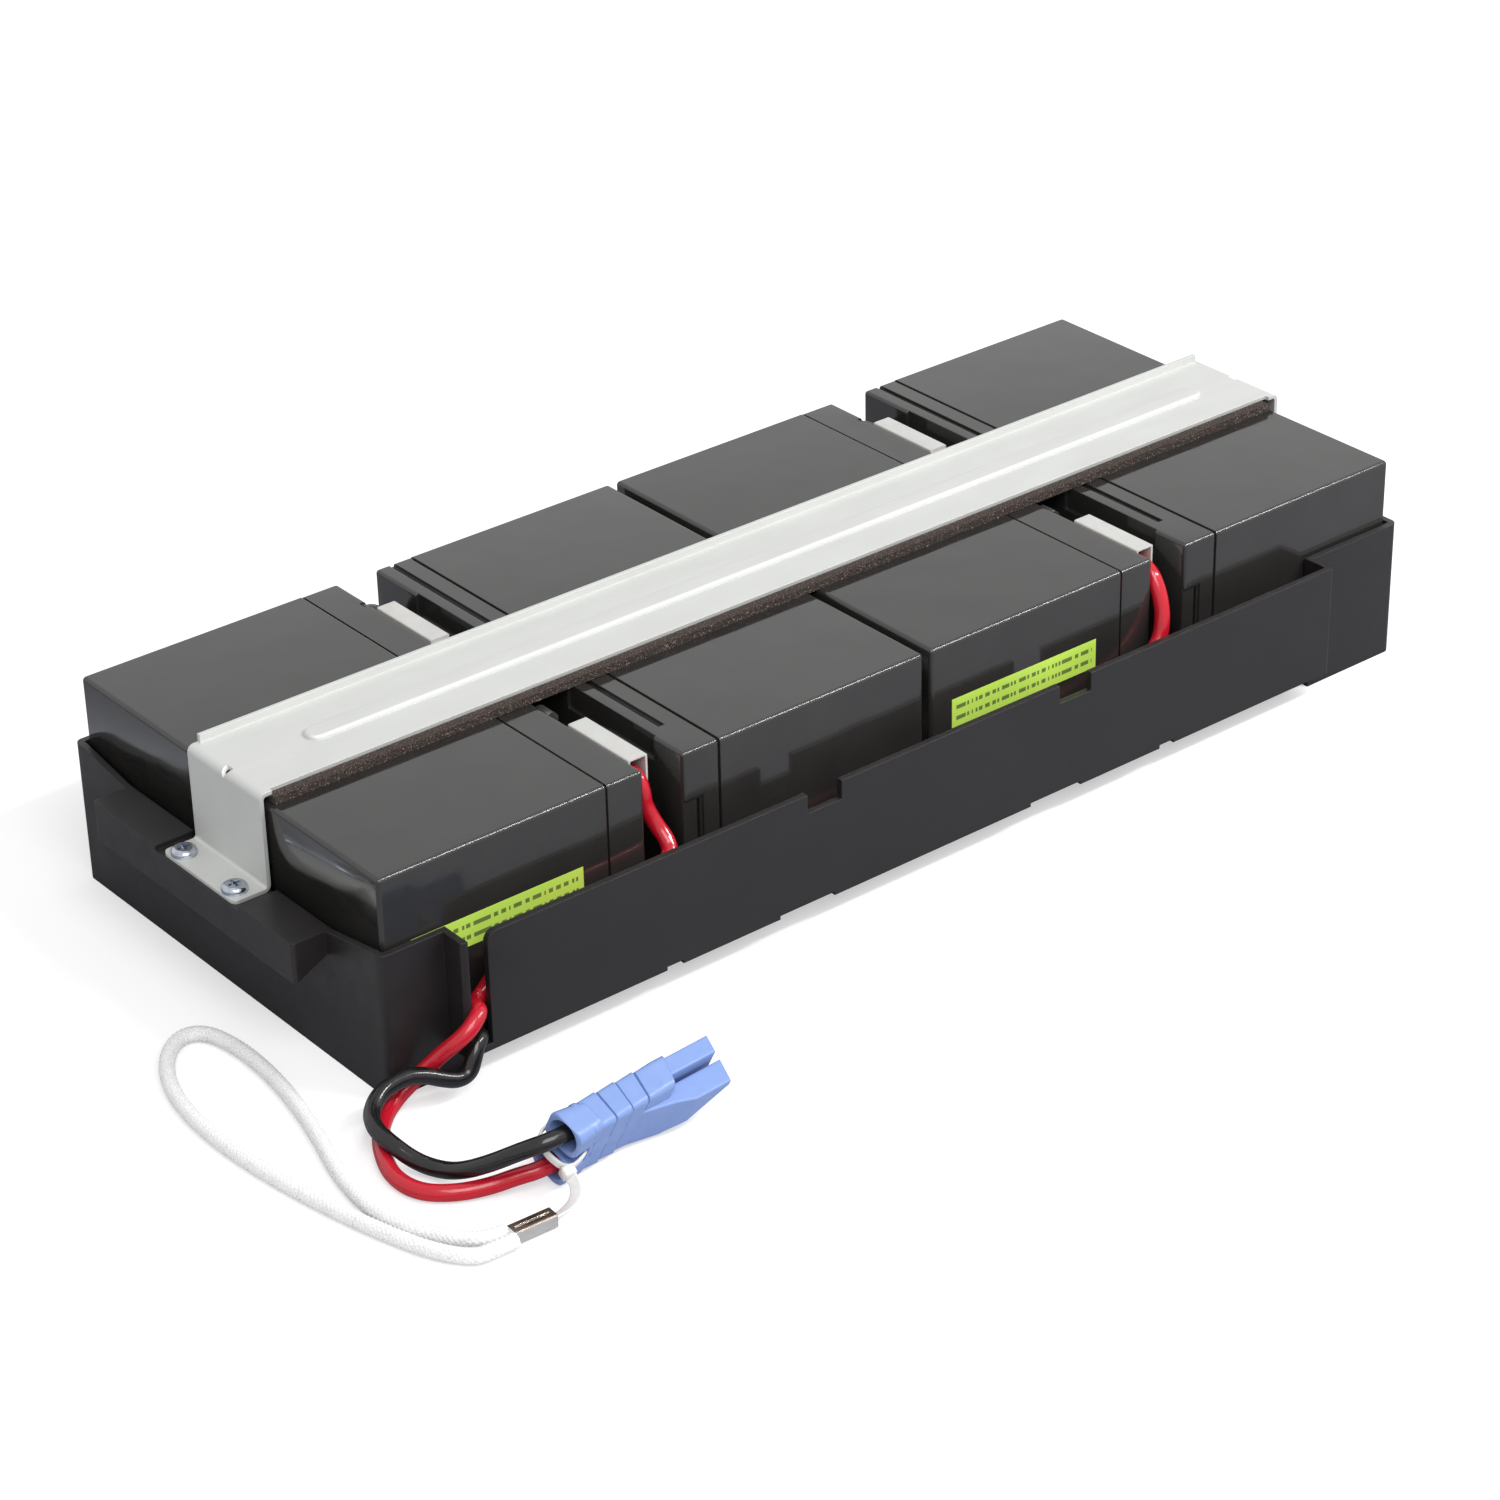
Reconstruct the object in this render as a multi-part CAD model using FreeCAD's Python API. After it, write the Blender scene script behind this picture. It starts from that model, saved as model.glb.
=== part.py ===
import FreeCAD, Part
import math
import os

os.makedirs("parts", exist_ok=True)
V = FreeCAD.Vector

# Battery cartridge for a rack UPS. Millimetres, +Z up.
# Everything is drawn in the bay frame: X along the rows from the front of the block bay,
# Y across the rows from the outer face of the near row, Z up from the tray's underside.
# At the end each piece moves to the part's own frame, with its origin under the middle.

# Sealed lead-acid block, lying on its large side: height along X, width along Y
CASE_H = 91.0
LID_H = 16.0
BLOCK_W = 90.0
BLOCK_T = 70.0
CASE_EDGE_R = 1.6
LID_STEP = 0.2
LID_EDGE_R = 1.4
SEAM_W = 1.0
SEAM_DEPTH = 1.1
ROWS = 2
BLOCKS_PER_ROW = 4
LID_GAP = 16.6
BUTT_GAP = 3.4
ROW_GAP = 0.5

# Slot of the vent cover in the lid's upper side, open at one end, the recess in the lid's end
# beside it, the set-back lower part of the lid's narrow side, and a small notch at the terminals' side
VENT_SLOT_W = 2.6
VENT_SLOT_FROM_SIDE = 20.3
VENT_SLOT_DEPTH = 1.5
VENT_SLOT_INSET = 7.0
END_RECESS_DEPTH = 1.2
END_RECESS_HEIGHT = 9.0
END_RECESS_FROM_SIDE = 16.0
END_RECESS_LEN = 48.0
SIDE_RECESS_LEN = 8.4
SIDE_RECESS_DEPTH = 0.7
SIDE_RECESS_DROP = 18.6
SIDE_SLOT_W = 1.2
SIDE_SLOT_DEPTH = 2.2
SIDE_SLOT_INSET = 6.6
SIDE_SLOT_HEIGHT = 40.0
EDGE_NOTCH_LEN = 5.0
EDGE_NOTCH_W = 3.0
EDGE_NOTCH_FROM_FAR = 18.5

# Blade terminals
TAB_W = 6.35
TAB_T = 0.8
TAB_LEN = 6.2
TAB_FIRST_Y = 27.0
TAB_SECOND_Y = 60.0
TAB_FROM_SIDE = 6.2
TAB_WELL_DEPTH = 6.2
TAB_WELL_W = 9.4
TAB_WELL_T = 8.2

# Crimped terminal pushed on each blade, with its barrel lying across the lid
CLIP_T = 3.0
CLIP_W = 7.2
CLIP_LIFT = 0.3
BARREL = 5.9
BARREL_LIFT = 0.9
TAB_FIT = 0.1

# White nylon terminal cover
COVER_X = 8.0
COVER_LEN = 33.3
COVER_H = 12.0
COVER_WALL = 0.8
COVER_PAST_TAB = 14.6
COVER_EDGE = 0.6

# Tray
WALL = 2.5
CLEAR = 1.1
PAD_T = 1.0
PAD_X = 60.0
PAD_Y = 60.0
FLOOR_TOP = 10.0
FLOOR_T = 2.5
RIM_Z = 55.0
CORNER_R = 3.0
BAY_CORNER_R = 0.8
BUTT_RIB_H = 18.0
BUTT_RIB_CLEAR = 0.5
BUTT_RIB_LEN = 150.0
STOP_H = 7.0
STOP_LEN = 14.0
STOP_CLEAR = 0.5
UNDER_RIB_T = 2.0
UNDER_RIB_RAISED = 1.2
UNDER_RIBS_ACROSS = 11
UNDER_RIBS_ALONG = 4

# Cable channel along the near side: an outer panel that stands off the bay
CHANNEL_W = 11.5
CHANNEL_X0 = 21.0
CHANNEL_X1 = 422.6
CHANNEL_FLOOR_TOP = 13.0
CHANNEL_FLOOR_T = 2.5
SLOT_W = 7.6
PANEL_CORNER_R = 4.0
SKIRT_SETBACK = 1.0
RIM_NOTCH_LEN = 15.2
RIM_NOTCH_DEPTH = 7.2
RIM_NOTCH_1_X = 173.4
RIM_NOTCH_2_X = 290.4
FOOT_NOTCH_H = 1.4
FOOT_NOTCH_SMALL = 7.0
FOOT_NOTCH_LONG = 24.4
FOOT_NOTCH_1_X = 107.1
FOOT_NOTCH_2_X = 165.2
FOOT_NOTCH_3_X = 281.7
FOOT_NOTCH_4_X = 337.2

# Front ledge, with its turned-down lip and the seat for the strap's foot
LEDGE_OUT = 13.0
LEDGE_Y0 = 28.0
LEDGE_Y1 = 151.0
LEDGE_Z = 50.4
LEDGE_T = 3.0
LIP_BOTTOM_Z = 35.0
GUSSET_TOP_RISE = 6.5
RIM_SLOPE_RUN = 27.0
LEDGE_CORNER_R = 1.6
SEAT_Z = 48.4
SEAT_MARGIN = 3.6
BOSS_R = 4.0
BOSS_BOTTOM_Z = 34.0

# Hold-down strap
STRAP_T = 1.5
STRAP_W = 44.0
STRAP_Y = 85.5
FOAM_T = 3.0
STRAP_BEND_R = 1.2
FOOT_LEN = 13.2
FOOT_CORNER_R = 2.5
REAR_LEG_BOTTOM_Z = 24.0
LIP_UP = 3.0
LIP_FROM_FRONT = 4.4
LIP_FROM_REAR = 3.0
EDGE_SETBACK = 1.8
EDGE_SETBACK_FROM_END = 5.0
BEAD_W = 9.0
BEAD_H = 1.5
BEAD_FROM_FRONT = 33.0
BEAD_FROM_REAR = 22.0
BEND_NOTCH_W = 3.8
BEND_NOTCH_D = 3.2
FOAM_W = 8.0
FOAM_FROM_END = 2.0
FOAM_PROUD = 2.2

# Screws
SCREW_SPACING = 31.0
SCREW_FROM_TIP = 4.6
SCREW_R = 1.95
SCREW_LEN = 9.0
SCREW_HOLE_R = 2.1
SCREW_HEAD_R = 4.6
SCREW_HEAD_H = 2.5
SCREW_CROSS_W = 1.1
SCREW_CROSS_LEN = 4.4
SCREW_CROSS_DEPTH = 1.3
REAR_SCREW_Z = 33.0

# Leads, jumpers and connector
LEAD_R = 2.9
HOUSING_W = 26.4
HOUSING_T = 13.4
HOUSING_BODY_LEN = 46.0
HOUSING_EDGE = 1.8
BACK_TONGUE_LEN = 18.5
FRONT_TONGUE_LEN = 22.0
TONGUE_T = 5.8
TONGUE_SLIT = 1.2
BACK_TONGUE_STEP = 2.4
FRONT_TONGUE_STEP = 5.0
TONGUE_TAPER = 9.0
POLE_SPACING = 17.0
WIRE_PORT_R = 4.9
WIRE_PORT_DEPTH = 7.0
LOBE_W = 28.2
LOBE_LEN = 8.0
LOBE_SLANT = 3.0
TIE_NOTCH_W = 4.4
TIE_NOTCH_DEPTH = 7.6
TIE_WEB = 3.0
TIE_HOLE_LEN = 4.4
GRIP_GROOVES = 4
GRIP_GROOVE_W = 2.0
GRIP_GROOVE_D = 1.1
GRIP_GROOVE_WRAP = 5.0
GRIP_GROOVE_PITCH = 8.2
GRIP_FIRST = 9.4
CONTACT_T = 2.0
CONTACT_W = 7.6
CONTACT_SLOT_CLEAR = 0.2
HOUSING_ROLL = 26.5
HOUSING_YAW = 4.0
HOUSING_REAR_X = 8.0
HOUSING_MID_Y = -78.5
TIE_W = 3.4
TIE_T = 1.2
TIE_HEAD = 4.6
TIE_CLEAR = 0.2
TIE_TAIL_R = 1.2
FERRULE_LEN = 15.8
FERRULE_W = 5.4
FERRULE_H = 5.0
FERRULE_WALL = 0.7
FERRULE_X = -19.6
FERRULE_Y = -91.9
FERRULE_TURN = -2.7
CORD_R = 2.8
CORD_Z = 3.0
CORD_STRAIGHT = 8.0

STICKER_T = 0.15
STICKER_LEN = 69.5
STICKER_H = 11.5
STICKER_1_X = 11.0
STICKER_1_Z = 42.8
STICKER_2_X = 243.8
STICKER_2_Z = 46.3

# Places that follow from the sizes above
BLOCK_H = CASE_H + LID_H
BAY_LEN = BLOCKS_PER_ROW * BLOCK_H + 2 * LID_GAP + BUTT_GAP
BAY_W = ROWS * BLOCK_W + (ROWS - 1) * ROW_GAP
BLOCK_Z = FLOOR_TOP + PAD_T
BLOCK_TOP = BLOCK_Z + BLOCK_T
WALL_OUT = CLEAR + WALL
FLOOR_UNDER = FLOOR_TOP - FLOOR_T
CHANNEL_OUT = CHANNEL_W + WALL
CHANNEL_UNDER = CHANNEL_FLOOR_TOP - CHANNEL_FLOOR_T
SLOT_X0 = CHANNEL_X0 + WALL
SLOT_X1 = SLOT_X0 + SLOT_W
LEDGE_TIP = -WALL_OUT - LEDGE_OUT
STRAP_Y0 = STRAP_Y - STRAP_W / 2
STRAP_Y1 = STRAP_Y + STRAP_W / 2
STRAP_UNDER = BLOCK_TOP + FOAM_T
STRAP_TOP = STRAP_UNDER + STRAP_T
FRONT_LEG_IN = -CLEAR
FRONT_LEG_OUT = FRONT_LEG_IN - STRAP_T
REAR_LEG_IN = BAY_LEN + WALL_OUT
REAR_LEG_OUT = REAR_LEG_IN + STRAP_T
REAR_REACH = REAR_LEG_OUT + SCREW_HEAD_H
FOOT_TIP = FRONT_LEG_OUT - FOOT_LEN
FRONT_SCREW_X = FOOT_TIP + SCREW_FROM_TIP
TAB_HIGH_Z = BLOCK_TOP - TAB_FROM_SIDE
TAB_LOW_Z = BLOCK_Z + TAB_FROM_SIDE
BARREL_MID = BARREL_LIFT + BARREL / 2
WIRE_START = CLIP_W / 2
SHIFT = V(-(LEDGE_TIP + REAR_REACH) / 2, -(BAY_W + WALL_OUT - CHANNEL_OUT) / 2, 0)

# Each block's start along X and whether its lid faces +X
BLOCK_STARTS = [
    (0.0, True),
    (BLOCK_H + LID_GAP, False),
    (2 * BLOCK_H + LID_GAP + BUTT_GAP, True),
    (3 * BLOCK_H + 2 * LID_GAP + BUTT_GAP, False),
]
ROW_STARTS = [0.0, BLOCK_W + ROW_GAP]
LID_GAP_STARTS = [BLOCK_H, 3 * BLOCK_H + LID_GAP + BUTT_GAP]


def box(x0, y0, z0, x1, y1, z1):
    return Part.makeBox(x1 - x0, y1 - y0, z1 - z0, V(x0, y0, z0))


def edges_along(shape, axis):
    # The straight edges that run along one axis
    found = []
    for edge in shape.Edges:
        ends = [v.Point for v in edge.Vertexes]
        if len(ends) != 2:
            continue
        run = ends[1] - ends[0]
        if abs(abs(run.normalize().dot(axis)) - 1) < 1e-6:
            found.append(edge)
    return found


def rounded_box(x0, y0, z0, x1, y1, z1, radius):
    # A box whose upright edges are rounded
    shape = box(x0, y0, z0, x1, y1, z1)
    return shape.makeFillet(radius, edges_along(shape, V(0, 0, 1)))


def prism(points, direction):
    # A closed outline carried straight along one direction
    return Part.Face(Part.makePolygon(points + [points[0]])).extrude(direction)


def route(points):
    # Straight runs joined by tangent arcs: each arc as large as its two runs allow
    starts = [points[0]]
    edges = []
    radii = []
    for before, corner, after in zip(points, points[1:], points[2:]):
        back = (before - corner).normalize()
        ahead = (after - corner).normalize()
        half = back.getAngle(ahead) / 2
        shorter = min((before - corner).Length, (after - corner).Length)
        trim = 0.45 * shorter
        radius = trim * math.tan(half)
        bisector = (back + ahead).normalize()
        mid = corner + bisector * (radius / math.sin(half) - radius)
        enter = corner + back * trim
        leave = corner + ahead * trim
        edges.append(Part.LineSegment(starts[-1], enter).toShape())
        edges.append(Part.Arc(enter, mid, leave).toShape())
        starts.append(leave)
        radii.append(round(radius, 1))
    edges.append(Part.LineSegment(starts[-1], points[-1]).toShape())
    return Part.Wire(edges), radii


def tube(name, points, radius):
    path, radii = route(points)
    start = points[0]
    along = (points[1] - points[0]).normalize()
    ring = Part.Wire(Part.makeCircle(radius, start, along))
    shape = path.makePipeShell([ring], True, False)
    section = math.pi * radius * radius
    print(name, "length", round(path.Length, 1), "radii", radii,
          "volume ratio", round(shape.Volume / (section * path.Length), 4))
    return shape


def make_tray():
    shell = rounded_box(-WALL_OUT, -WALL_OUT, 0, BAY_LEN + WALL_OUT, BAY_W + WALL_OUT, RIM_Z, CORNER_R)
    channel = box(CHANNEL_X0, -CHANNEL_OUT, CHANNEL_UNDER, CHANNEL_X1, 0, RIM_Z)
    outer = channel.makeFillet(
        CORNER_R / 2, [e for e in edges_along(channel, V(0, 0, 1)) if e.BoundBox.YMax < -CHANNEL_W])
    tray = shell.fuse(outer)
    tray = tray.cut(rounded_box(-CLEAR, -CLEAR, FLOOR_TOP, BAY_LEN + CLEAR, BAY_W + CLEAR, RIM_Z + 1,
                                BAY_CORNER_R))
    tray = tray.cut(box(SLOT_X0, -CHANNEL_W, CHANNEL_FLOOR_TOP, CHANNEL_X1 - WALL, 0, RIM_Z + 1))
    tray = tray.cut(box(SLOT_X0, -CHANNEL_OUT - 1, CHANNEL_FLOOR_TOP, SLOT_X1, -CHANNEL_W + 1, RIM_Z + 1))

    # The panel's upper corner beside the slot is rounded
    corner = box(SLOT_X1, -CHANNEL_OUT - 1, RIM_Z - PANEL_CORNER_R,
                 SLOT_X1 + PANEL_CORNER_R, -CHANNEL_W, RIM_Z + 1)
    disc = Part.makeCylinder(PANEL_CORNER_R, WALL + 3,
                             V(SLOT_X1 + PANEL_CORNER_R, -CHANNEL_OUT - 2, RIM_Z - PANEL_CORNER_R), V(0, 1, 0))
    tray = tray.cut(corner.cut(disc))

    # Notches in the panel's rim and in its lower edge
    for x in (RIM_NOTCH_1_X, RIM_NOTCH_2_X):
        tray = tray.cut(box(x - RIM_NOTCH_LEN / 2, -CHANNEL_OUT - 1, RIM_Z - RIM_NOTCH_DEPTH,
                            x + RIM_NOTCH_LEN / 2, -CHANNEL_W + 0.5, RIM_Z + 1))
    for x, length in ((FOOT_NOTCH_1_X, FOOT_NOTCH_SMALL), (FOOT_NOTCH_2_X, FOOT_NOTCH_LONG),
                      (FOOT_NOTCH_3_X, FOOT_NOTCH_LONG), (FOOT_NOTCH_4_X, FOOT_NOTCH_SMALL)):
        tray = tray.cut(box(x - length / 2, -CHANNEL_OUT - 1, CHANNEL_UNDER - 1,
                            x + length / 2, -CHANNEL_W, CHANNEL_UNDER + FOOT_NOTCH_H))

    # Hollow underside: a skirt all round and crossed ribs; the skirt is set back under the channel
    tray = tray.cut(box(SLOT_X1, -WALL_OUT - 1, -1, CHANNEL_X1, SKIRT_SETBACK, FLOOR_UNDER))
    hollow = box(-CLEAR, -CLEAR, -1, BAY_LEN + CLEAR, BAY_W + CLEAR, FLOOR_UNDER)
    hollow = hollow.cut(box(SLOT_X1 - WALL, -WALL_OUT, -1, CHANNEL_X1 + WALL, SKIRT_SETBACK + WALL, FLOOR_UNDER))
    for i in range(UNDER_RIBS_ACROSS):
        x = BAY_LEN * (i + 1) / (UNDER_RIBS_ACROSS + 1)
        hollow = hollow.cut(box(x - UNDER_RIB_T / 2, -WALL_OUT, UNDER_RIB_RAISED,
                                x + UNDER_RIB_T / 2, BAY_W + WALL_OUT, RIM_Z))
    for i in range(UNDER_RIBS_ALONG):
        y = BAY_W * (i + 1) / (UNDER_RIBS_ALONG + 1)
        hollow = hollow.cut(box(-WALL_OUT, y - UNDER_RIB_T / 2, UNDER_RIB_RAISED,
                                BAY_LEN + WALL_OUT, y + UNDER_RIB_T / 2, RIM_Z))
    tray = tray.cut(hollow)

    # Rib between the two middle blocks, and stops that keep each lid gap open
    butt_x = 2 * BLOCK_H + LID_GAP
    middle = BAY_W / 2
    tray = tray.fuse(box(butt_x + BUTT_RIB_CLEAR, middle - BUTT_RIB_LEN / 2, FLOOR_TOP - 0.5,
                         butt_x + BUTT_GAP - BUTT_RIB_CLEAR, middle + BUTT_RIB_LEN / 2, FLOOR_TOP + BUTT_RIB_H))
    for x in LID_GAP_STARTS:
        for y in ROW_STARTS:
            y_mid = y + BLOCK_W / 2
            tray = tray.fuse(box(x + STOP_CLEAR, y_mid - STOP_LEN / 2, FLOOR_TOP - 0.5,
                                 x + LID_GAP - STOP_CLEAR, y_mid + STOP_LEN / 2, FLOOR_TOP + STOP_H))
    return make_ledge(tray)


def make_ledge(tray):
    # The front wall's rim dips to the ledge at both sides
    near_slope = LEDGE_Y0 - RIM_SLOPE_RUN
    far_slope = LEDGE_Y1 + RIM_SLOPE_RUN
    dip = prism([V(-WALL_OUT - 1, near_slope, RIM_Z + 1), V(-WALL_OUT - 1, near_slope, RIM_Z),
                 V(-WALL_OUT - 1, LEDGE_Y0, LEDGE_Z), V(-WALL_OUT - 1, LEDGE_Y1, LEDGE_Z),
                 V(-WALL_OUT - 1, far_slope, RIM_Z), V(-WALL_OUT - 1, far_slope, RIM_Z + 1)],
                V(WALL + 2, 0, 0))
    tray = tray.cut(dip)

    # Top plate and lip as one turned-down section, closed by an end wall at each side
    outline = [V(-CLEAR - WALL / 2, LEDGE_Y0, LEDGE_Z), V(LEDGE_TIP, LEDGE_Y0, LEDGE_Z),
               V(LEDGE_TIP, LEDGE_Y0, LIP_BOTTOM_Z), V(-WALL_OUT, LEDGE_Y0, LIP_BOTTOM_Z + GUSSET_TOP_RISE),
               V(-CLEAR - WALL / 2, LEDGE_Y0, LIP_BOTTOM_Z + GUSSET_TOP_RISE)]
    block = prism(outline, V(0, LEDGE_Y1 - LEDGE_Y0, 0))
    tip_edges = [e for e in edges_along(block, V(0, 0, 1)) if e.BoundBox.XMax < LEDGE_TIP + 0.1]
    block = block.makeFillet(LEDGE_CORNER_R, tip_edges)
    inside = box(LEDGE_TIP + WALL, LEDGE_Y0 + WALL, LIP_BOTTOM_Z - 1,
                 -WALL_OUT, LEDGE_Y1 - WALL, LEDGE_Z - LEDGE_T)
    seat_y0 = STRAP_Y0 - SEAT_MARGIN
    seat_y1 = STRAP_Y1 + SEAT_MARGIN
    inside = inside.cut(box(LEDGE_TIP, seat_y0 - WALL, SEAT_Z - LEDGE_T, 0, seat_y1 + WALL, LEDGE_Z))
    for side in (-0.5, 0.5):
        inside = inside.cut(Part.makeCylinder(
            BOSS_R, LEDGE_Z - BOSS_BOTTOM_Z, V(FRONT_SCREW_X,
                                               STRAP_Y + side * SCREW_SPACING, BOSS_BOTTOM_Z)))
    ledge = block.cut(inside)
    tray = tray.fuse(ledge)

    # Seat for the strap's foot, cut down through the front wall, with two screw holes
    tray = tray.cut(box(LEDGE_TIP - 1, seat_y0, SEAT_Z, 0, seat_y1, RIM_Z + 1))
    for side in (-0.5, 0.5):
        tray = tray.cut(Part.makeCylinder(
            SCREW_HOLE_R, SCREW_LEN + 1, V(FRONT_SCREW_X,
                                           STRAP_Y + side * SCREW_SPACING, SEAT_Z - SCREW_LEN), V(0, 0, 1)))
        tray = tray.cut(Part.makeCylinder(
            SCREW_HOLE_R, WALL + 1, V(BAY_LEN + CLEAR - 0.5, STRAP_Y + side * SCREW_SPACING, REAR_SCREW_Z),
            V(1, 0, 0)))
    return tray.removeSplitter()


def place(shape):
    # From the bay frame to the part's own frame
    moved = shape.copy()
    moved.translate(SHIFT)
    return moved


def block_places():
    # Number, start of each block along X and Y, and whether its lid faces +X
    number = 0
    for y in ROW_STARTS:
        for x, forward in BLOCK_STARTS:
            number += 1
            yield number, x, y, forward


def lid_face(x, forward):
    # X of a block's outer lid face, and the direction that the face looks
    return (x + BLOCK_H, 1) if forward else (x, -1)


def tab_height(forward):
    # Blocks that face each other lie turned over, so their terminals lie high or low
    return TAB_HIGH_Z if forward else TAB_LOW_Z


def span(a, b):
    return min(a, b), max(a, b)


def slab(x_a, x_b, y0, y1, z0, z1):
    # A box whose two X places may come in either order
    x0, x1 = span(x_a, x_b)
    return box(x0, y0, z0, x1, y1, z1)


def make_case(x, y, forward):
    x0 = x if forward else x + LID_H
    case = box(x0, y, BLOCK_Z, x0 + CASE_H, y + BLOCK_W, BLOCK_TOP)
    bottom = x0 if forward else x0 + CASE_H
    edges = edges_along(case, V(1, 0, 0))
    edges += [e for e in case.Edges if abs(e.BoundBox.XMin - bottom) < 1e-3 and abs(e.BoundBox.XMax - bottom) < 1e-3]
    return case.makeFillet(CASE_EDGE_R, edges)


def make_lid(x, y, forward):
    face, out = lid_face(x, forward)
    seam = face - out * LID_H
    x0, x1 = span(face, seam)
    y0, y1 = y + LID_STEP, y + BLOCK_W - LID_STEP
    z0, z1 = BLOCK_Z + LID_STEP, BLOCK_TOP - LID_STEP
    lid = box(x0, y0, z0, x1, y1, z1)
    edges = edges_along(lid, V(1, 0, 0))
    edges += [e for e in lid.Edges if abs(e.BoundBox.XMin - face) < 1e-3 and abs(e.BoundBox.XMax - face) < 1e-3]
    lid = lid.makeFillet(LID_EDGE_R, edges)

    # Groove all round where the lid meets the case
    ring = slab(seam, seam + out * SEAM_W, y0 - 1, y1 + 1, z0 - 1, z1 + 1)
    ring = ring.cut(slab(seam - out, seam + out * (SEAM_W + 1), y0 + SEAM_DEPTH, y1 - SEAM_DEPTH,
                         z0 + SEAM_DEPTH, z1 - SEAM_DEPTH))
    lid = lid.cut(ring)

    # The vent cover's side: a slot across it, and a step in the lid's edge beside the slot
    slot = face - out * VENT_SLOT_INSET
    vent_z = z0 if forward else z1
    inward = 1 if forward else -1
    deep_z0, deep_z1 = span(vent_z - inward, vent_z + inward * VENT_SLOT_DEPTH)
    lid = lid.cut(slab(slot - out * VENT_SLOT_W / 2, slot + out * VENT_SLOT_W / 2,
                       y + VENT_SLOT_FROM_SIDE, y1 + 1, deep_z0, deep_z1))
    step_z0, step_z1 = span(vent_z - inward, vent_z + inward * END_RECESS_HEIGHT)
    step_y0 = y + END_RECESS_FROM_SIDE
    lid = lid.cut(slab(face + out, face - out * END_RECESS_DEPTH,
                       step_y0, step_y0 + END_RECESS_LEN, step_z0, step_z1))
    if forward:
        # Small notch in the outer edge of the terminals' side
        notch_y1 = y + BLOCK_W - EDGE_NOTCH_FROM_FAR
        lid = lid.cut(slab(face + out, face - out * EDGE_NOTCH_W, notch_y1 - EDGE_NOTCH_LEN, notch_y1,
                           z1 - END_RECESS_DEPTH, z1 + 1))
    else:
        # The narrow side's lower part is set back, with an upright slot in it
        lid = lid.cut(slab(face + out, face - out * SIDE_RECESS_LEN, y0 - 1, y0 + SIDE_RECESS_DEPTH,
                           z0 - 1, z1 - SIDE_RECESS_DROP))
        side_slot = face - out * SIDE_SLOT_INSET
        slot_z1 = z1 - SIDE_RECESS_DROP - SIDE_SLOT_W
        lid = lid.cut(slab(side_slot - out * SIDE_SLOT_W / 2, side_slot + out * SIDE_SLOT_W / 2,
                           y0 - 1, y0 + SIDE_SLOT_DEPTH, slot_z1 - SIDE_SLOT_HEIGHT, slot_z1))

    # Terminal wells
    z = tab_height(forward)
    for tab_y in (TAB_FIRST_Y, TAB_SECOND_Y):
        lid = lid.cut(slab(face + out, face - out * TAB_WELL_DEPTH, y + tab_y - TAB_WELL_W / 2,
                           y + tab_y + TAB_WELL_W / 2, z - TAB_WELL_T / 2, z + TAB_WELL_T / 2))
    return lid


def make_tabs(x, y, forward):
    face, out = lid_face(x, forward)
    z = tab_height(forward)
    root = face - out * TAB_WELL_DEPTH
    tabs = []
    for tab_y in (TAB_FIRST_Y, TAB_SECOND_Y):
        blade = slab(root, root + out * TAB_LEN, y + tab_y - TAB_W / 2, y + tab_y + TAB_W / 2,
                     z - TAB_T / 2, z + TAB_T / 2)
        tip = root + out * TAB_LEN
        corners = [e for e in edges_along(blade, V(0, 0, 1)) if abs(e.BoundBox.XMin - tip) < 1e-3]
        tabs.append(blade.makeChamfer(TAB_W / 5, corners))
    return Part.makeCompound(tabs)


def make_clips():
    # A flat receptacle over each blade, and the barrel that holds the wire
    clips = []
    for number, x, y, forward in block_places():
        face, out = lid_face(x, forward)
        z = tab_height(forward)
        root = face - out * (TAB_WELL_DEPTH - CLIP_LIFT)
        tip = face - out * (TAB_WELL_DEPTH - TAB_LEN)
        for tab_y in (TAB_FIRST_Y, TAB_SECOND_Y):
            mid = y + tab_y
            clip = slab(root, face + out * BARREL_LIFT, mid - CLIP_W / 2, mid + CLIP_W / 2,
                        z - CLIP_T / 2, z + CLIP_T / 2)
            barrel = Part.makeCylinder(BARREL / 2, CLIP_W, V(face + out * BARREL_MID, mid - CLIP_W / 2, z),
                                       V(0, 1, 0))
            neck = slab(face, face + out * BARREL_MID, mid - CLIP_W / 2, mid + CLIP_W / 2,
                        z - CLIP_T / 2, z + CLIP_T / 2)
            clip = clip.fuse(neck).fuse(barrel)
            clip = clip.cut(slab(root - out, tip + out * TAB_FIT, mid - TAB_W / 2 - TAB_FIT,
                                 mid + TAB_W / 2 + TAB_FIT, z - TAB_T / 2 - TAB_FIT, z + TAB_T / 2 + TAB_FIT))
            clips.append(clip.removeSplitter())
    return Part.makeCompound(clips)


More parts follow.
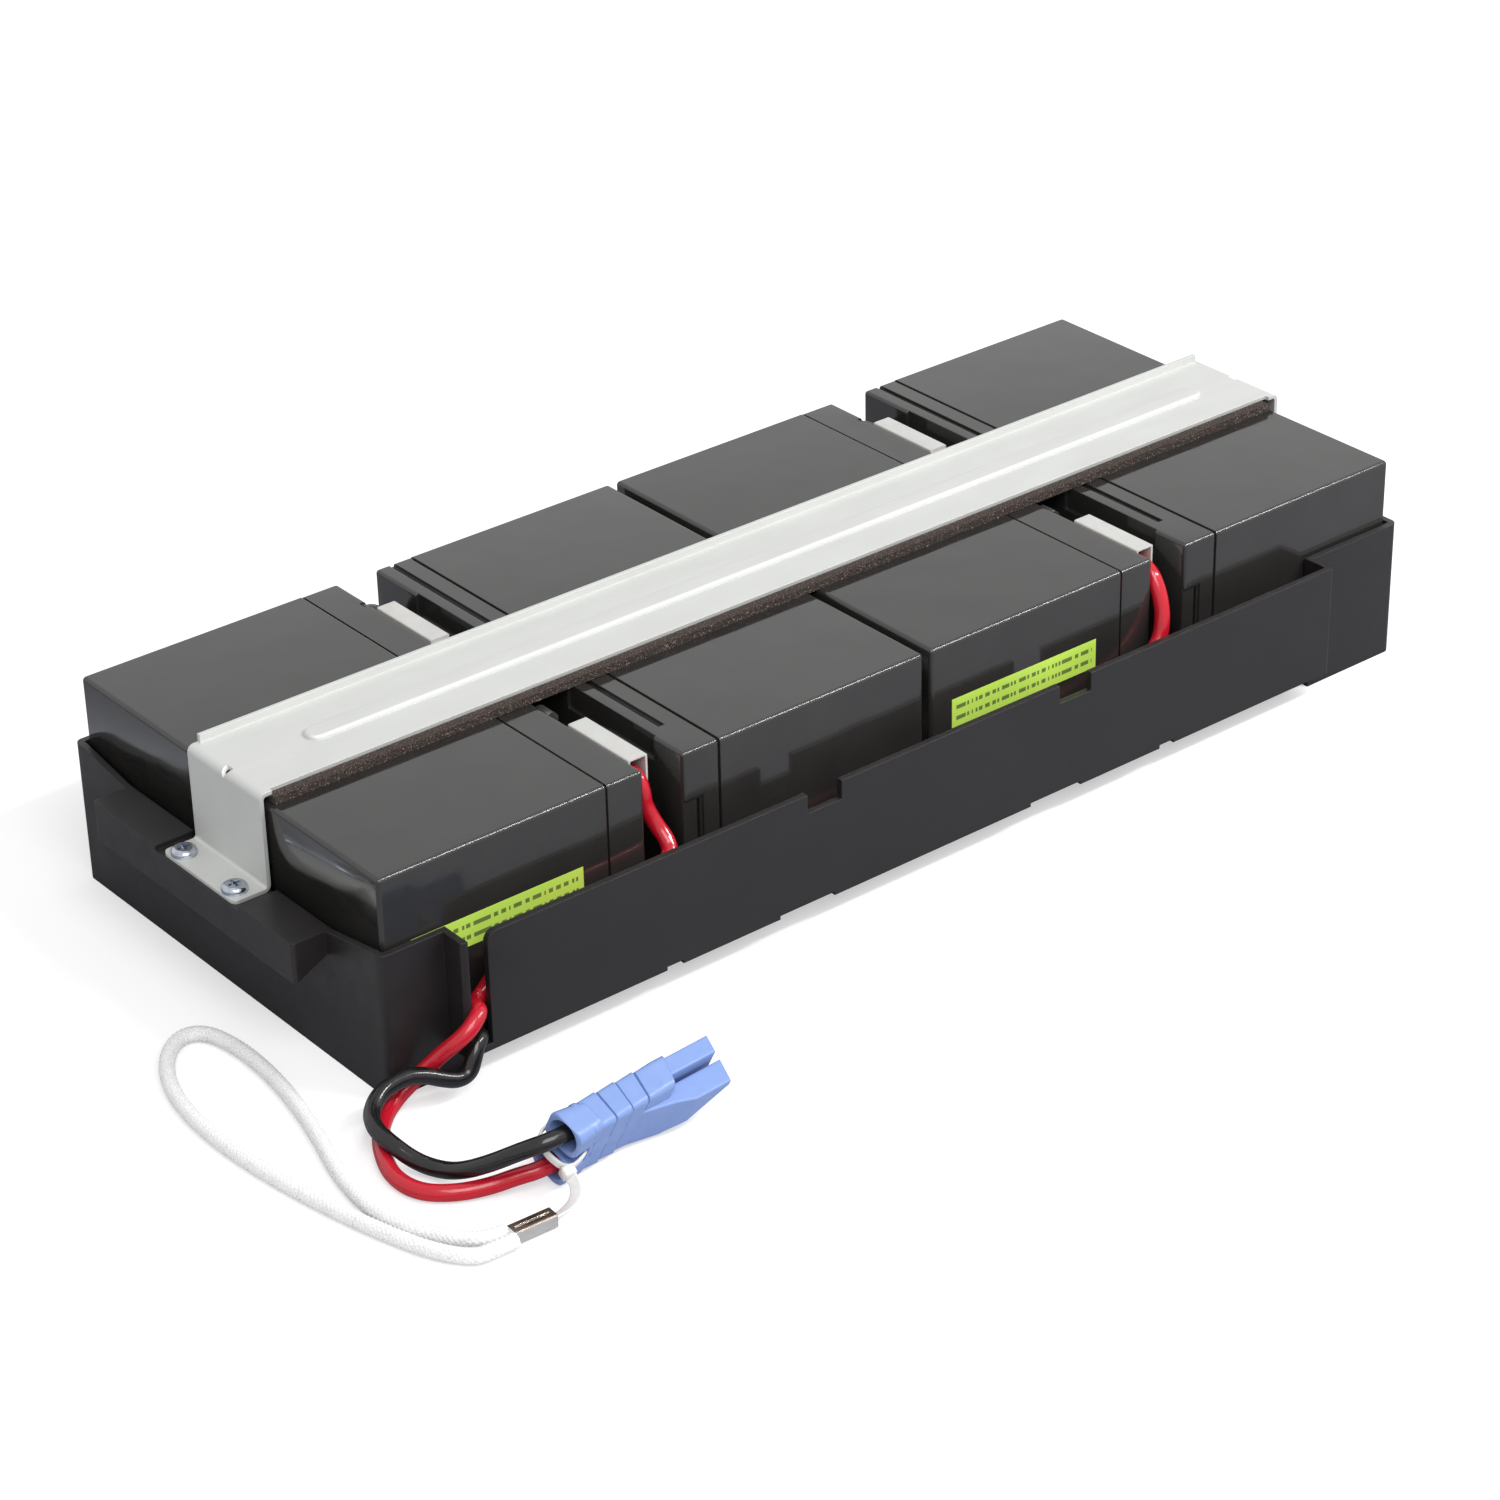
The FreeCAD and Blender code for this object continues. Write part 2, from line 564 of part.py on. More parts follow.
def make_cover(x, y, row):
    # A box closed over one clip and open at the end where the wire leaves
    face = x + BLOCK_H
    if row == 0:
        y1 = y + TAB_FIRST_Y + COVER_PAST_TAB
        y0 = y1 - COVER_LEN
    else:
        y1 = y + TAB_SECOND_Y + WIRE_START + COVER_WALL + TAB_FIT
        y0 = y1 - COVER_LEN
    z0, z1 = BLOCK_TOP - COVER_H, BLOCK_TOP
    cover = box(face, y0, z0, face + COVER_X, y1, z1)
    cover = cover.makeFillet(COVER_EDGE, edges_along(cover, V(0, 1, 0)))
    mouth_y0 = y0 - 1 if row == 0 else y0 + COVER_WALL
    mouth_y1 = y1 - COVER_WALL if row == 0 else y1 + 1
    cover = cover.cut(box(face + COVER_WALL, mouth_y0, z0 + COVER_WALL,
                          face + COVER_X - COVER_WALL, mouth_y1, z1 - COVER_WALL))
    tab_y = y + (TAB_FIRST_Y if row == 0 else TAB_SECOND_Y)
    return cover.cut(box(face - 1, tab_y - CLIP_W / 2 - TAB_FIT, TAB_HIGH_Z - CLIP_T / 2 - TAB_FIT,
                         face + COVER_WALL + TAB_FIT, tab_y + CLIP_W / 2 + TAB_FIT,
                         TAB_HIGH_Z + CLIP_T / 2 + TAB_FIT))


def make_pads():
    pads = []
    for number, x, y, forward in block_places():
        x_mid = x + BLOCK_H / 2
        y_mid = y + BLOCK_W / 2
        pads.append(box(x_mid - PAD_X / 2, y_mid - PAD_Y / 2, FLOOR_TOP,
                        x_mid + PAD_X / 2, y_mid + PAD_Y / 2, BLOCK_Z))
    return Part.makeCompound(pads)


def make_strap():
    outline = [V(FOOT_TIP, STRAP_Y0, SEAT_Z), V(FRONT_LEG_IN, STRAP_Y0, SEAT_Z),
               V(FRONT_LEG_IN, STRAP_Y0, STRAP_UNDER), V(REAR_LEG_IN, STRAP_Y0, STRAP_UNDER),
               V(REAR_LEG_IN, STRAP_Y0, REAR_LEG_BOTTOM_Z), V(REAR_LEG_OUT, STRAP_Y0, REAR_LEG_BOTTOM_Z),
               V(REAR_LEG_OUT, STRAP_Y0, STRAP_TOP), V(FRONT_LEG_OUT, STRAP_Y0, STRAP_TOP),
               V(FRONT_LEG_OUT, STRAP_Y0, SEAT_Z + STRAP_T), V(FOOT_TIP, STRAP_Y0, SEAT_Z + STRAP_T)]
    strap = prism(outline, V(0, STRAP_W, 0))
    inner = {(FRONT_LEG_IN, STRAP_UNDER), (REAR_LEG_IN, STRAP_UNDER), (FRONT_LEG_OUT, SEAT_Z + STRAP_T)}
    outer = {(FRONT_LEG_IN, SEAT_Z), (REAR_LEG_OUT, STRAP_TOP), (FRONT_LEG_OUT, STRAP_TOP)}
    for corners, radius in ((inner, STRAP_BEND_R), (outer, STRAP_BEND_R + STRAP_T)):
        bends = [e for e in edges_along(strap, V(0, 1, 0))
                 if any(abs(e.BoundBox.XMin - x) < 1e-3 and abs(e.BoundBox.ZMin - z) < 1e-3 for x, z in corners)]
        strap = strap.makeFillet(radius, bends)
    tips = [e for e in edges_along(strap, V(0, 0, 1)) if e.BoundBox.XMax < FOOT_TIP + 1e-3]
    tips += [e for e in edges_along(strap, V(1, 0, 0)) if e.BoundBox.ZMax < REAR_LEG_BOTTOM_Z + 1e-3]
    strap = strap.makeFillet(FOOT_CORNER_R, tips)

    # Between the legs the near edge is set back, and the far edge turns up as a stiffening lip
    strap = strap.cut(rounded_box(FRONT_LEG_OUT + EDGE_SETBACK_FROM_END, STRAP_Y0 - 5, STRAP_UNDER - 1,
                                  REAR_LEG_OUT - EDGE_SETBACK_FROM_END, STRAP_Y0 + EDGE_SETBACK,
                                  STRAP_TOP + 1, EDGE_SETBACK / 2))
    lip = box(FRONT_LEG_OUT + LIP_FROM_FRONT, STRAP_Y1 - STRAP_T, STRAP_TOP - STRAP_T / 2,
              REAR_LEG_OUT - LIP_FROM_REAR, STRAP_Y1, STRAP_TOP + LIP_UP)
    strap = strap.fuse(lip)

    # Raised bead along the middle, hollow below
    x0 = FRONT_LEG_OUT + BEAD_FROM_FRONT
    x1 = REAR_LEG_OUT - BEAD_FROM_REAR
    ridge = rounded_box(x0, STRAP_Y - BEAD_W / 2, STRAP_TOP - STRAP_T / 2,
                        x1, STRAP_Y + BEAD_W / 2, STRAP_TOP + BEAD_H, BEAD_W / 2 - 0.05)
    crest = [e for e in ridge.Edges if e.BoundBox.ZMin > STRAP_TOP + BEAD_H - 1e-3]
    ridge = ridge.makeFillet(BEAD_H * 0.9, crest)
    groove_w = BEAD_W - 2 * BEAD_H
    groove = rounded_box(x0 + BEAD_H, STRAP_Y - groove_w / 2, STRAP_UNDER - 1,
                         x1 - BEAD_H, STRAP_Y + groove_w / 2, STRAP_UNDER + BEAD_H, groove_w / 2 - 0.05)
    strap = strap.fuse(ridge).cut(groove)

    # Pointed notch in the middle of each upper bend, and the screw holes
    for x in (FRONT_LEG_OUT, REAR_LEG_OUT):
        x0 = x - BEND_NOTCH_D
        strap = strap.cut(prism([V(x0, STRAP_Y - BEND_NOTCH_W / 2, STRAP_TOP),
                                 V(x0, STRAP_Y, STRAP_TOP - BEND_NOTCH_D),
                                 V(x0, STRAP_Y + BEND_NOTCH_W / 2, STRAP_TOP)], V(2 * BEND_NOTCH_D, 0, 0)))
    for side in (-0.5, 0.5):
        y = STRAP_Y + side * SCREW_SPACING
        strap = strap.cut(Part.makeCylinder(SCREW_HOLE_R, 3 * STRAP_T, V(FRONT_SCREW_X, y, SEAT_Z - STRAP_T)))
        strap = strap.cut(Part.makeCylinder(SCREW_HOLE_R, 3 * STRAP_T, V(REAR_LEG_IN - STRAP_T, y, REAR_SCREW_Z),
                                            V(1, 0, 0)))
    return strap.removeSplitter()


def make_foam(y0):
    return box(FOAM_FROM_END, y0, BLOCK_TOP, BAY_LEN - FOAM_FROM_END, y0 + FOAM_W, STRAP_UNDER)


def make_screw():
    # Pan head with a cross recess, drawn with the head's seat at the origin and the shank down
    head = Part.makeCylinder(SCREW_HEAD_R, SCREW_HEAD_H)
    rim = [e for e in head.Edges if e.BoundBox.ZMin > SCREW_HEAD_H - 1e-3]
    head = head.makeFillet(SCREW_HEAD_H * 0.7, rim)
    for turn in (0, 90):
        arm = box(-SCREW_CROSS_LEN / 2, -SCREW_CROSS_W / 2, SCREW_HEAD_H - SCREW_CROSS_DEPTH,
                  SCREW_CROSS_LEN / 2, SCREW_CROSS_W / 2, SCREW_HEAD_H + 1)
        arm.rotate(V(0, 0, 0), V(0, 0, 1), turn)
        head = head.cut(arm)
    return head.fuse(Part.makeCylinder(SCREW_R, SCREW_LEN, V(0, 0, 0), V(0, 0, -1))).removeSplitter()


def make_front_screws():
    screws = []
    for side in (-0.5, 0.5):
        screw = make_screw()
        screw.translate(V(FRONT_SCREW_X, STRAP_Y + side * SCREW_SPACING, SEAT_Z + STRAP_T))
        screws.append(screw)
    return Part.makeCompound(screws)


def make_rear_screws():
    # The rear wall is thin, so these screws are cut short inside it
    screws = []
    for side in (-0.5, 0.5):
        screw = make_screw().cut(box(-10, -10, -SCREW_LEN - 1, 10, 10, -STRAP_T - WALL))
        screw.rotate(V(0, 0, 0), V(0, 1, 0), 90)
        screw.translate(V(REAR_LEG_OUT, STRAP_Y + side * SCREW_SPACING, REAR_SCREW_Z))
        screws.append(screw)
    return Part.makeCompound(screws)


# Routes of the wires that the cartridge holds, from clip to clip. A and B are the two lids that
# face each other across a gap: A's clips lie high and B's lie low.
GAP_A = [x + BARREL_MID for x in LID_GAP_STARTS]
GAP_B = [x + LID_GAP - BARREL_MID for x in LID_GAP_STARTS]
NEAR_1 = TAB_FIRST_Y
NEAR_2 = TAB_SECOND_Y
FAR_1 = ROW_STARTS[1] + TAB_FIRST_Y
FAR_2 = ROW_STARTS[1] + TAB_SECOND_Y
CHANNEL_MID = -CHANNEL_W / 2
CHANNEL_LOW = CHANNEL_FLOOR_TOP + LEAD_R + 0.3
LEAD_START_X = SLOT_X1 + 7.0
RED_EXIT_Z = 31.8
BLACK_EXIT_Z = 20.5


def jumper_high_cross(gap):
    # Between the two rows, from lid to lid on side A
    x = GAP_A[gap]
    a = NEAR_2 + WIRE_START
    b = FAR_1 - WIRE_START
    return [V(x, a, TAB_HIGH_Z), V(x, a + 12, TAB_HIGH_Z), V(x, (a + b) / 2, TAB_HIGH_Z - 9),
            V(x, b - 12, TAB_HIGH_Z), V(x, b, TAB_HIGH_Z)]


def jumper_low_cross(gap):
    # Between the two rows, from lid to lid on side B
    x = GAP_B[gap]
    a = NEAR_2 + WIRE_START
    b = FAR_1 - WIRE_START
    return [V(x, a, TAB_LOW_Z), V(x, a + 12, TAB_LOW_Z), V(x, (a + b) / 2, TAB_LOW_Z + 9),
            V(x, b - 12, TAB_LOW_Z), V(x, b, TAB_LOW_Z)]


def jumper_across(gap):
    # Across the gap in the far row, from the high clip on side A to the low one on side B
    y = FAR_2 + WIRE_START
    return [V(GAP_A[gap], y, TAB_HIGH_Z), V(GAP_A[gap], y + 12, TAB_HIGH_Z),
            V(GAP_A[gap] + 1, y + 21, TAB_HIGH_Z - 12), V(GAP_B[gap] - 1, y + 21, TAB_LOW_Z + 12),
            V(GAP_B[gap], y + 12, TAB_LOW_Z), V(GAP_B[gap], y, TAB_LOW_Z)]


def jumper_channel():
    # From side B of the first gap along the channel to side A of the second
    y = NEAR_1 - WIRE_START
    x0 = GAP_B[0]
    x1 = GAP_A[1]
    return [V(x0, y, TAB_LOW_Z), V(x0, y - 14, TAB_LOW_Z), V(x0 - 0.6, -3.4, TAB_LOW_Z + 5.5),
            V(x0 + 8, CHANNEL_MID, 29), V(x0 + 30, CHANNEL_MID, 34), V(x0 + 76, CHANNEL_MID, 35.5),
            V(x0 + 136, CHANNEL_MID, 34.5), V(x1 - 62, CHANNEL_MID, 34), V(x1 - 28, CHANNEL_MID, 38),
            V(x1 - 11, CHANNEL_MID, 43.5), V(x1 - 3.5, -4.9, 50.5), V(x1 - 1.2, -3.4, 58),
            V(x1 - 0.6, -1.0, 65.5), V(x1 - 0.2, 4, 73), V(x1, y - 10, TAB_HIGH_Z), V(x1, y, TAB_HIGH_Z)]


def red_feed():
    # From side A of the first gap to the cable slot
    y = NEAR_1 - WIRE_START
    x = GAP_A[0]
    return [V(x, y, TAB_HIGH_Z), V(x, y - 10, TAB_HIGH_Z), V(x - 0.2, 4, 73), V(x + 0.2, -1.5, 66),
            V(x + 0.4, -5, 58.5), V(x - 5, CHANNEL_MID, 51.5), V(x - 16, CHANNEL_MID, 49.3),
            V(x - 38, CHANNEL_MID, 48.6), V(x - 54, CHANNEL_MID, 41), V(LEAD_START_X + 9, CHANNEL_MID, RED_EXIT_Z),
            V(LEAD_START_X, CHANNEL_MID, RED_EXIT_Z)]


def black_feed():
    # From side B of the second gap along the channel's floor to the cable slot
    y = NEAR_1 - WIRE_START
    x = GAP_B[1]
    return [V(x, y, TAB_LOW_Z), V(x, y - 12, TAB_LOW_Z), V(x - 2, 0, TAB_LOW_Z),
            V(x - 12, CHANNEL_MID - 1, CHANNEL_LOW), V(x - 35, CHANNEL_MID, CHANNEL_LOW),
            V(x - 95, CHANNEL_MID + 1.2, CHANNEL_LOW), V(x - 155, CHANNEL_MID + 0.8, CHANNEL_LOW),
            V(x - 215, CHANNEL_MID - 1.5, CHANNEL_LOW), V(x - 265, CHANNEL_MID, CHANNEL_LOW + 0.6),
            V(x - 300, CHANNEL_MID + 1.2, CHANNEL_LOW + 1.5), V(LEAD_START_X + 9, CHANNEL_MID, BLACK_EXIT_Z),
            V(LEAD_START_X, CHANNEL_MID, BLACK_EXIT_Z)]


# Free leads and the pull cord lie on the surface that the tray stands on
RED_LEAD = [V(LEAD_START_X, CHANNEL_MID, RED_EXIT_Z), V(31.6, CHANNEL_MID, RED_EXIT_Z),
            V(26.7, -10.2, 31.6), V(26.6, -15.6, 31.0), V(23.6, -17.9, 29.5),
            V(19.2, -17.8, 26.4), V(15.6, -16.0, 22.6), V(12.0, -12.2, 17.0), V(7.0, -8.9, 10.6), V(0.4, -8.3, 6.8),
            V(-6.0, -9.2, 3.8), V(-12.8, -13.6, 3.0), V(-19.6, -21.0, 3.0), V(-25.6, -31.2, 3.0),
            V(-29.6, -43.0, 3.0), V(-28.0, -54.6, 3.0), V(-19.8, -62.4, 3.0), V(-9.6, -67.0, 3.4),
            V(-1.6, -71.4, 6.0)]
BLACK_LEAD = [V(LEAD_START_X, CHANNEL_MID, BLACK_EXIT_Z), V(31.6, CHANNEL_MID, BLACK_EXIT_Z),
              V(26.7, -10.2, 20.5), V(26.6, -15.6, 20.2), V(23.6, -18.0, 19.0), V(19.6, -18.8, 15.8),
              V(16.6, -19.4, 11.6), V(12.4, -18.8, 9.6), V(5.6, -15.4, 12.4), V(-3.0, -12.4, 14.0),
              V(-12.2, -12.2, 12.4), V(-19.8, -16.8, 10.2), V(-23.8, -24.8, 9.6), V(-23.6, -33.6, 8.4),
              V(-20.6, -41.8, 4.8), V(-16.8, -49.0, 3.6), V(-14.4, -57.8, 6.4), V(-10.0, -67.6, 12.4),
              V(-2.4, -77.0, 19.4)]
CORD_LOOP = [V(-33.4, -81.5, 3.0), V(-39.6, -71.8, 3.0), V(-43.2, -61.0, 3.0), V(-44.6, -48.0, 3.0),
             V(-41.5, -29.0, 3.0), V(-35.0, -9.0, 3.0), V(-29.5, 13.0, 3.0), V(-26.3, 35.0, 3.0),
             V(-26.3, 54.0, 3.0), V(-29.8, 67.5, 3.0), V(-38.5, 70.0, 3.0), V(-48.5, 61.5, 3.0),
             V(-56.0, 47.0, 3.0), V(-60.0, 28.0, 3.0), V(-60.5, 5.0, 3.0), V(-58.0, -20.0, 3.0),
             V(-53.5, -45.0, 3.0), V(-48.0, -67.0, 3.0), V(-42.0, -84.0, 3.0), V(-34.5, -94.0, 3.0)]


def housing_frame():
    # The connector lies on a narrow edge and leans over; it is lifted until it rests on the floor
    turn = FreeCAD.Rotation(V(0, 0, 1), HOUSING_YAW).multiply(FreeCAD.Rotation(V(1, 0, 0), HOUSING_ROLL))
    frame = FreeCAD.Placement(V(0, 0, 0), turn)
    lowest = make_housing().transformGeometry(frame.toMatrix()).BoundBox.ZMin
    return FreeCAD.Placement(V(HOUSING_REAR_X, HOUSING_MID_Y, -lowest), turn)


def make_housing():
    # Drawn with its length along X from the wire end, its two poles one above the other along Z
    half_w = HOUSING_W / 2
    half_t = HOUSING_T / 2
    body = box(0, -half_t, -half_w, HOUSING_BODY_LEN, half_t, half_w)
    body = body.makeFillet(HOUSING_EDGE, edges_along(body, V(1, 0, 0)))
    half_lobe = LOBE_W / 2
    lobes = box(0, -half_t, -half_lobe, LOBE_LEN, half_t, half_lobe)
    body = body.fuse(lobes.makeFillet(HOUSING_EDGE, edges_along(lobes, V(1, 0, 0))))
    for side, length, step in ((1, BACK_TONGUE_LEN, BACK_TONGUE_STEP), (-1, FRONT_TONGUE_LEN, FRONT_TONGUE_STEP)):
        low = -half_w + BACK_TONGUE_STEP
        top = half_w - step
        y0, y1 = span(side * TONGUE_SLIT / 2, side * (TONGUE_SLIT / 2 + TONGUE_T))
        end = HOUSING_BODY_LEN + length
        profile = [V(HOUSING_BODY_LEN - 1, y0, low), V(HOUSING_BODY_LEN + 3, y0, low),
                   V(end, y0, low + TONGUE_TAPER), V(end, y0, top), V(HOUSING_BODY_LEN - 1, y0, top)]
        body = body.fuse(prism(profile, V(0, y1 - y0, 0)))
    body = body.removeSplitter()

    # Grip grooves across both narrow faces, each carried a little way onto the wide faces
    for i in range(GRIP_GROOVES):
        x = GRIP_FIRST + i * GRIP_GROOVE_PITCH
        for side in (-1, 1):
            z0, z1 = span(side * (half_w - GRIP_GROOVE_D), side * (half_w + 1))
            body = body.cut(box(x, -half_t - 1, z0, x + GRIP_GROOVE_W, half_t + 1, z1))
            z0, z1 = span(side * (half_w - GRIP_GROOVE_WRAP), side * (half_w + 1))
            for face in (-1, 1):
                y0, y1 = span(face * (half_t - GRIP_GROOVE_D), face * (half_t + 1))
                body = body.cut(box(x, y0, z0, x + GRIP_GROOVE_W, y1, z1))

    # The wire end is slanted off above and below
    for side in (-1, 1):
        outside = side * (half_lobe + 1)
        body = body.cut(prism([V(-1, -half_t - 1, outside), V(LOBE_SLANT, -half_t - 1, outside),
                               V(LOBE_SLANT, -half_t - 1, side * half_lobe),
                               V(-1, -half_t - 1, side * (half_lobe - 0.6))], V(0, HOUSING_T + 2, 0)))
    for pole in (-0.5, 0.5):
        z = pole * POLE_SPACING
        body = body.cut(Part.makeCylinder(WIRE_PORT_R, WIRE_PORT_DEPTH, V(0, 0, z), V(1, 0, 0)))
        body = body.cut(box(WIRE_PORT_DEPTH - 1, -CONTACT_T / 2 - CONTACT_SLOT_CLEAR,
                            z - CONTACT_W / 2 - CONTACT_SLOT_CLEAR,
                            HOUSING_BODY_LEN + FRONT_TONGUE_LEN + 1, CONTACT_T / 2 + CONTACT_SLOT_CLEAR,
                            z + CONTACT_W / 2 + CONTACT_SLOT_CLEAR))

    # Between the poles a notch and a hole leave a web for the tie
    body = body.cut(box(-1, -half_t - 1, -TIE_NOTCH_W / 2, TIE_NOTCH_DEPTH, half_t + 1, TIE_NOTCH_W / 2))
    hole_x = TIE_NOTCH_DEPTH + TIE_WEB
    return body.cut(box(hole_x, -half_t - 1, -TIE_NOTCH_W / 2, hole_x + TIE_HOLE_LEN, half_t + 1, TIE_NOTCH_W / 2))


def make_contacts():
    contacts = []
    for pole in (-0.5, 0.5):
        z = pole * POLE_SPACING
        contacts.append(box(WIRE_PORT_DEPTH, -CONTACT_T / 2, z - CONTACT_W / 2,
                            HOUSING_BODY_LEN + BACK_TONGUE_LEN - 3, CONTACT_T / 2, z + CONTACT_W / 2))
    return Part.makeCompound(contacts)


def make_tie(frame):
    # A band round the web between the poles, its head between the two wire ports, and its tail
    # down over the lower port to the ferrule
    half_t = HOUSING_T / 2 + TIE_CLEAR
    x0 = TIE_NOTCH_DEPTH - TIE_CLEAR
    x1 = TIE_NOTCH_DEPTH + TIE_WEB + TIE_CLEAR
    band = box(x0 - TIE_T, -half_t - TIE_T, -TIE_W / 2, x1 + TIE_T, half_t + TIE_T, TIE_W / 2)
    band = band.makeFillet(TIE_T, edges_along(band, V(0, 0, 1)))
    band = band.cut(box(x0, -half_t, -TIE_W, x1, half_t, TIE_W))
    head_x = x0 - TIE_T - TIE_HEAD / 2 + 0.4
    front = -half_t - TIE_TAIL_R - TIE_CLEAR
    head = box(head_x - TIE_HEAD / 2, front - TIE_TAIL_R, -TIE_W / 2 - TIE_CLEAR,
               head_x + TIE_HEAD / 2, front - TIE_TAIL_R + TIE_HEAD, TIE_W / 2 + TIE_CLEAR)
    loop = band.fuse(head)
    loop.Placement = frame
    tail = [frame.multVec(V(head_x, front, 0)), frame.multVec(V(head_x, front, -TIE_W / 2 - 3)),
            frame.multVec(V(head_x - 1.5, front - 0.9, -HOUSING_W / 2 + 5)),
            FERRULE_END + FERRULE_AXIS * 3.6, FERRULE_END]
    return loop.fuse(tube("cable_tie tail", tail, TIE_TAIL_R)).removeSplitter()


FERRULE_AXIS = V(math.cos(math.radians(FERRULE_TURN)), math.sin(math.radians(FERRULE_TURN)), 0)
FERRULE_START = V(FERRULE_X, FERRULE_Y, CORD_Z)
FERRULE_END = FERRULE_START + FERRULE_AXIS * FERRULE_LEN
FERRULE_SIDE = V(-FERRULE_AXIS.y, FERRULE_AXIS.x, 0)


def make_ferrule():
    # A flattened sleeve, with a pressed groove along its upper side
    body = box(0, -FERRULE_W / 2, -FERRULE_H / 2, FERRULE_LEN, FERRULE_W / 2, FERRULE_H / 2)
    body = body.makeFillet(FERRULE_WALL, edges_along(body, V(1, 0, 0)))
    body = body.cut(box(1.5, -0.4, FERRULE_H / 2 - FERRULE_WALL, FERRULE_LEN - 1.5, 0.4, FERRULE_H))
    body.rotate(V(0, 0, 0), V(0, 0, 1), FERRULE_TURN)
    body.translate(FERRULE_START)
    return body


def make_cord():
    first = FERRULE_START + FERRULE_SIDE * (CORD_R + 0.02)
    last = FERRULE_START - FERRULE_SIDE * (CORD_R + 0.02)
    away = FERRULE_AXIS * -CORD_STRAIGHT
    return tube("pull_cord", [first, first + away] + CORD_LOOP + [last + away, last], CORD_R)


def make_sticker(x, z):
    return box(x, -STICKER_T, z, x + STICKER_LEN, 0, z + STICKER_H)


def main():
    pieces = {"tray": make_tray(), "floor_pads": make_pads(), "hold_down_strap": make_strap(),
              "strap_foam_near": make_foam(STRAP_Y0 - FOAM_PROUD), "strap_foam_far": make_foam(STRAP_Y1 - FOAM_W),
              "strap_screws_front": make_front_screws(), "strap_screws_rear": make_rear_screws(),
              "terminal_clips": make_clips()}
    for number, x, y, forward in block_places():
        pieces["battery_case_" + str(number)] = make_case(x, y, forward)
        pieces["battery_lid_" + str(number)] = make_lid(x, y, forward)
        pieces["terminal_tabs_" + str(number)] = make_tabs(x, y, forward)
    cover = 0
    for row, y in enumerate(ROW_STARTS):
        for x, forward in BLOCK_STARTS:
            if forward:
                cover += 1
                pieces["terminal_cover_" + str(cover)] = make_cover(x, y, row)
    jumpers = []
    for gap in range(len(LID_GAP_STARTS)):
        jumpers += [jumper_high_cross(gap), jumper_across(gap), jumper_low_cross(gap)]
    jumpers.append(jumper_channel())
    for number, points in enumerate(jumpers, 1):
        name = "series_jumper_" + str(number)
        pieces[name] = tube(name, points, LEAD_R)
    pieces["red_feed_wire"] = tube("red_feed_wire", red_feed(), LEAD_R)
    pieces["black_feed_wire"] = tube("black_feed_wire", black_feed(), LEAD_R)

    frame = housing_frame()
    for name, points, pole in (("black_lead", BLACK_LEAD, 0.5), ("red_lead", RED_LEAD, -0.5)):
        mouth = frame.multVec(V(-3.0, 0, pole * POLE_SPACING))
        inside = frame.multVec(V(WIRE_PORT_DEPTH, 0, pole * POLE_SPACING))
        pieces[name] = tube(name, points + [mouth, inside], LEAD_R)
    for name, shape in (("connector_housing", make_housing()), ("connector_contacts", make_contacts())):
        shape.Placement = frame
        pieces[name] = shape
    pieces["cable_tie"] = make_tie(frame)
    pieces["ferrule"] = make_ferrule()
    pieces["pull_cord"] = make_cord()
    pieces["battery_sticker_1"] = make_sticker(STICKER_1_X, STICKER_1_Z)
    pieces["battery_sticker_2"] = make_sticker(STICKER_2_X, STICKER_2_Z)

    for name, shape in pieces.items():
        place(shape).exportStep("parts/" + name + ".step")
        print(name, "solids", len(shape.Solids), "valid", shape.isValid(), "cm3", round(shape.Volume / 1000, 3))


main()
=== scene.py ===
import math

import bpy
import numpy as np
from mathutils import Matrix, Vector


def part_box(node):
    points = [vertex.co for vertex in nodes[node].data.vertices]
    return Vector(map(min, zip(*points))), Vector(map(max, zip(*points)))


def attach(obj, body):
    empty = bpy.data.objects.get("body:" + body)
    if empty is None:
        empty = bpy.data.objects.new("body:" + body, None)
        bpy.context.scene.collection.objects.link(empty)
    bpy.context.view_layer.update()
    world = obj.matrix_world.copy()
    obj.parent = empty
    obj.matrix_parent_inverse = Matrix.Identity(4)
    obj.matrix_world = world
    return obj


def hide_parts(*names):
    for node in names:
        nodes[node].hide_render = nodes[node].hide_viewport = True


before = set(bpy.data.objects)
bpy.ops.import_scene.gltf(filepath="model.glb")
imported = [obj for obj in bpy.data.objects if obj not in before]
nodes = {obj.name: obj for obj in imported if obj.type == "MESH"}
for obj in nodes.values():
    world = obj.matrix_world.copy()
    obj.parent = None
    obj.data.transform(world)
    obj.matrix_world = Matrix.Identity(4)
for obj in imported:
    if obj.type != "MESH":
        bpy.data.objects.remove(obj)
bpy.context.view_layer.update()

MM = 0.001


# Tray
# One injection moulding in black flame-retardant plastic, with a fine spark-eroded grain, a rim
# round the bay, a panel standing off the near side for the leads, and a ledge for the strap's foot.

# The bay's corner is the outer corner of the first block. All places below are measured from it,
# in millimetres.
BAY = np.array(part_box("battery_case_1")[0]) * (1, 1, 0)


def bay(points):
    """Places in the bay, in millimetres, moved to the part's frame in metres."""
    return np.asarray(points, float) * MM + BAY


def new_material(name, colour, roughness, metallic=0.0, **sockets):
    """A material whose main shader has one colour, roughness and metalness; other sockets by name."""
    material = bpy.data.materials.new(name)
    material.use_nodes = True
    shader = material.node_tree.nodes["Principled BSDF"]
    shader.inputs["Base Color"].default_value = (*colour, 1)
    shader.inputs["Roughness"].default_value = roughness
    shader.inputs["Metallic"].default_value = metallic
    for socket, value in sockets.items():
        shader.inputs[socket.replace("_", " ")].default_value = value
    return material


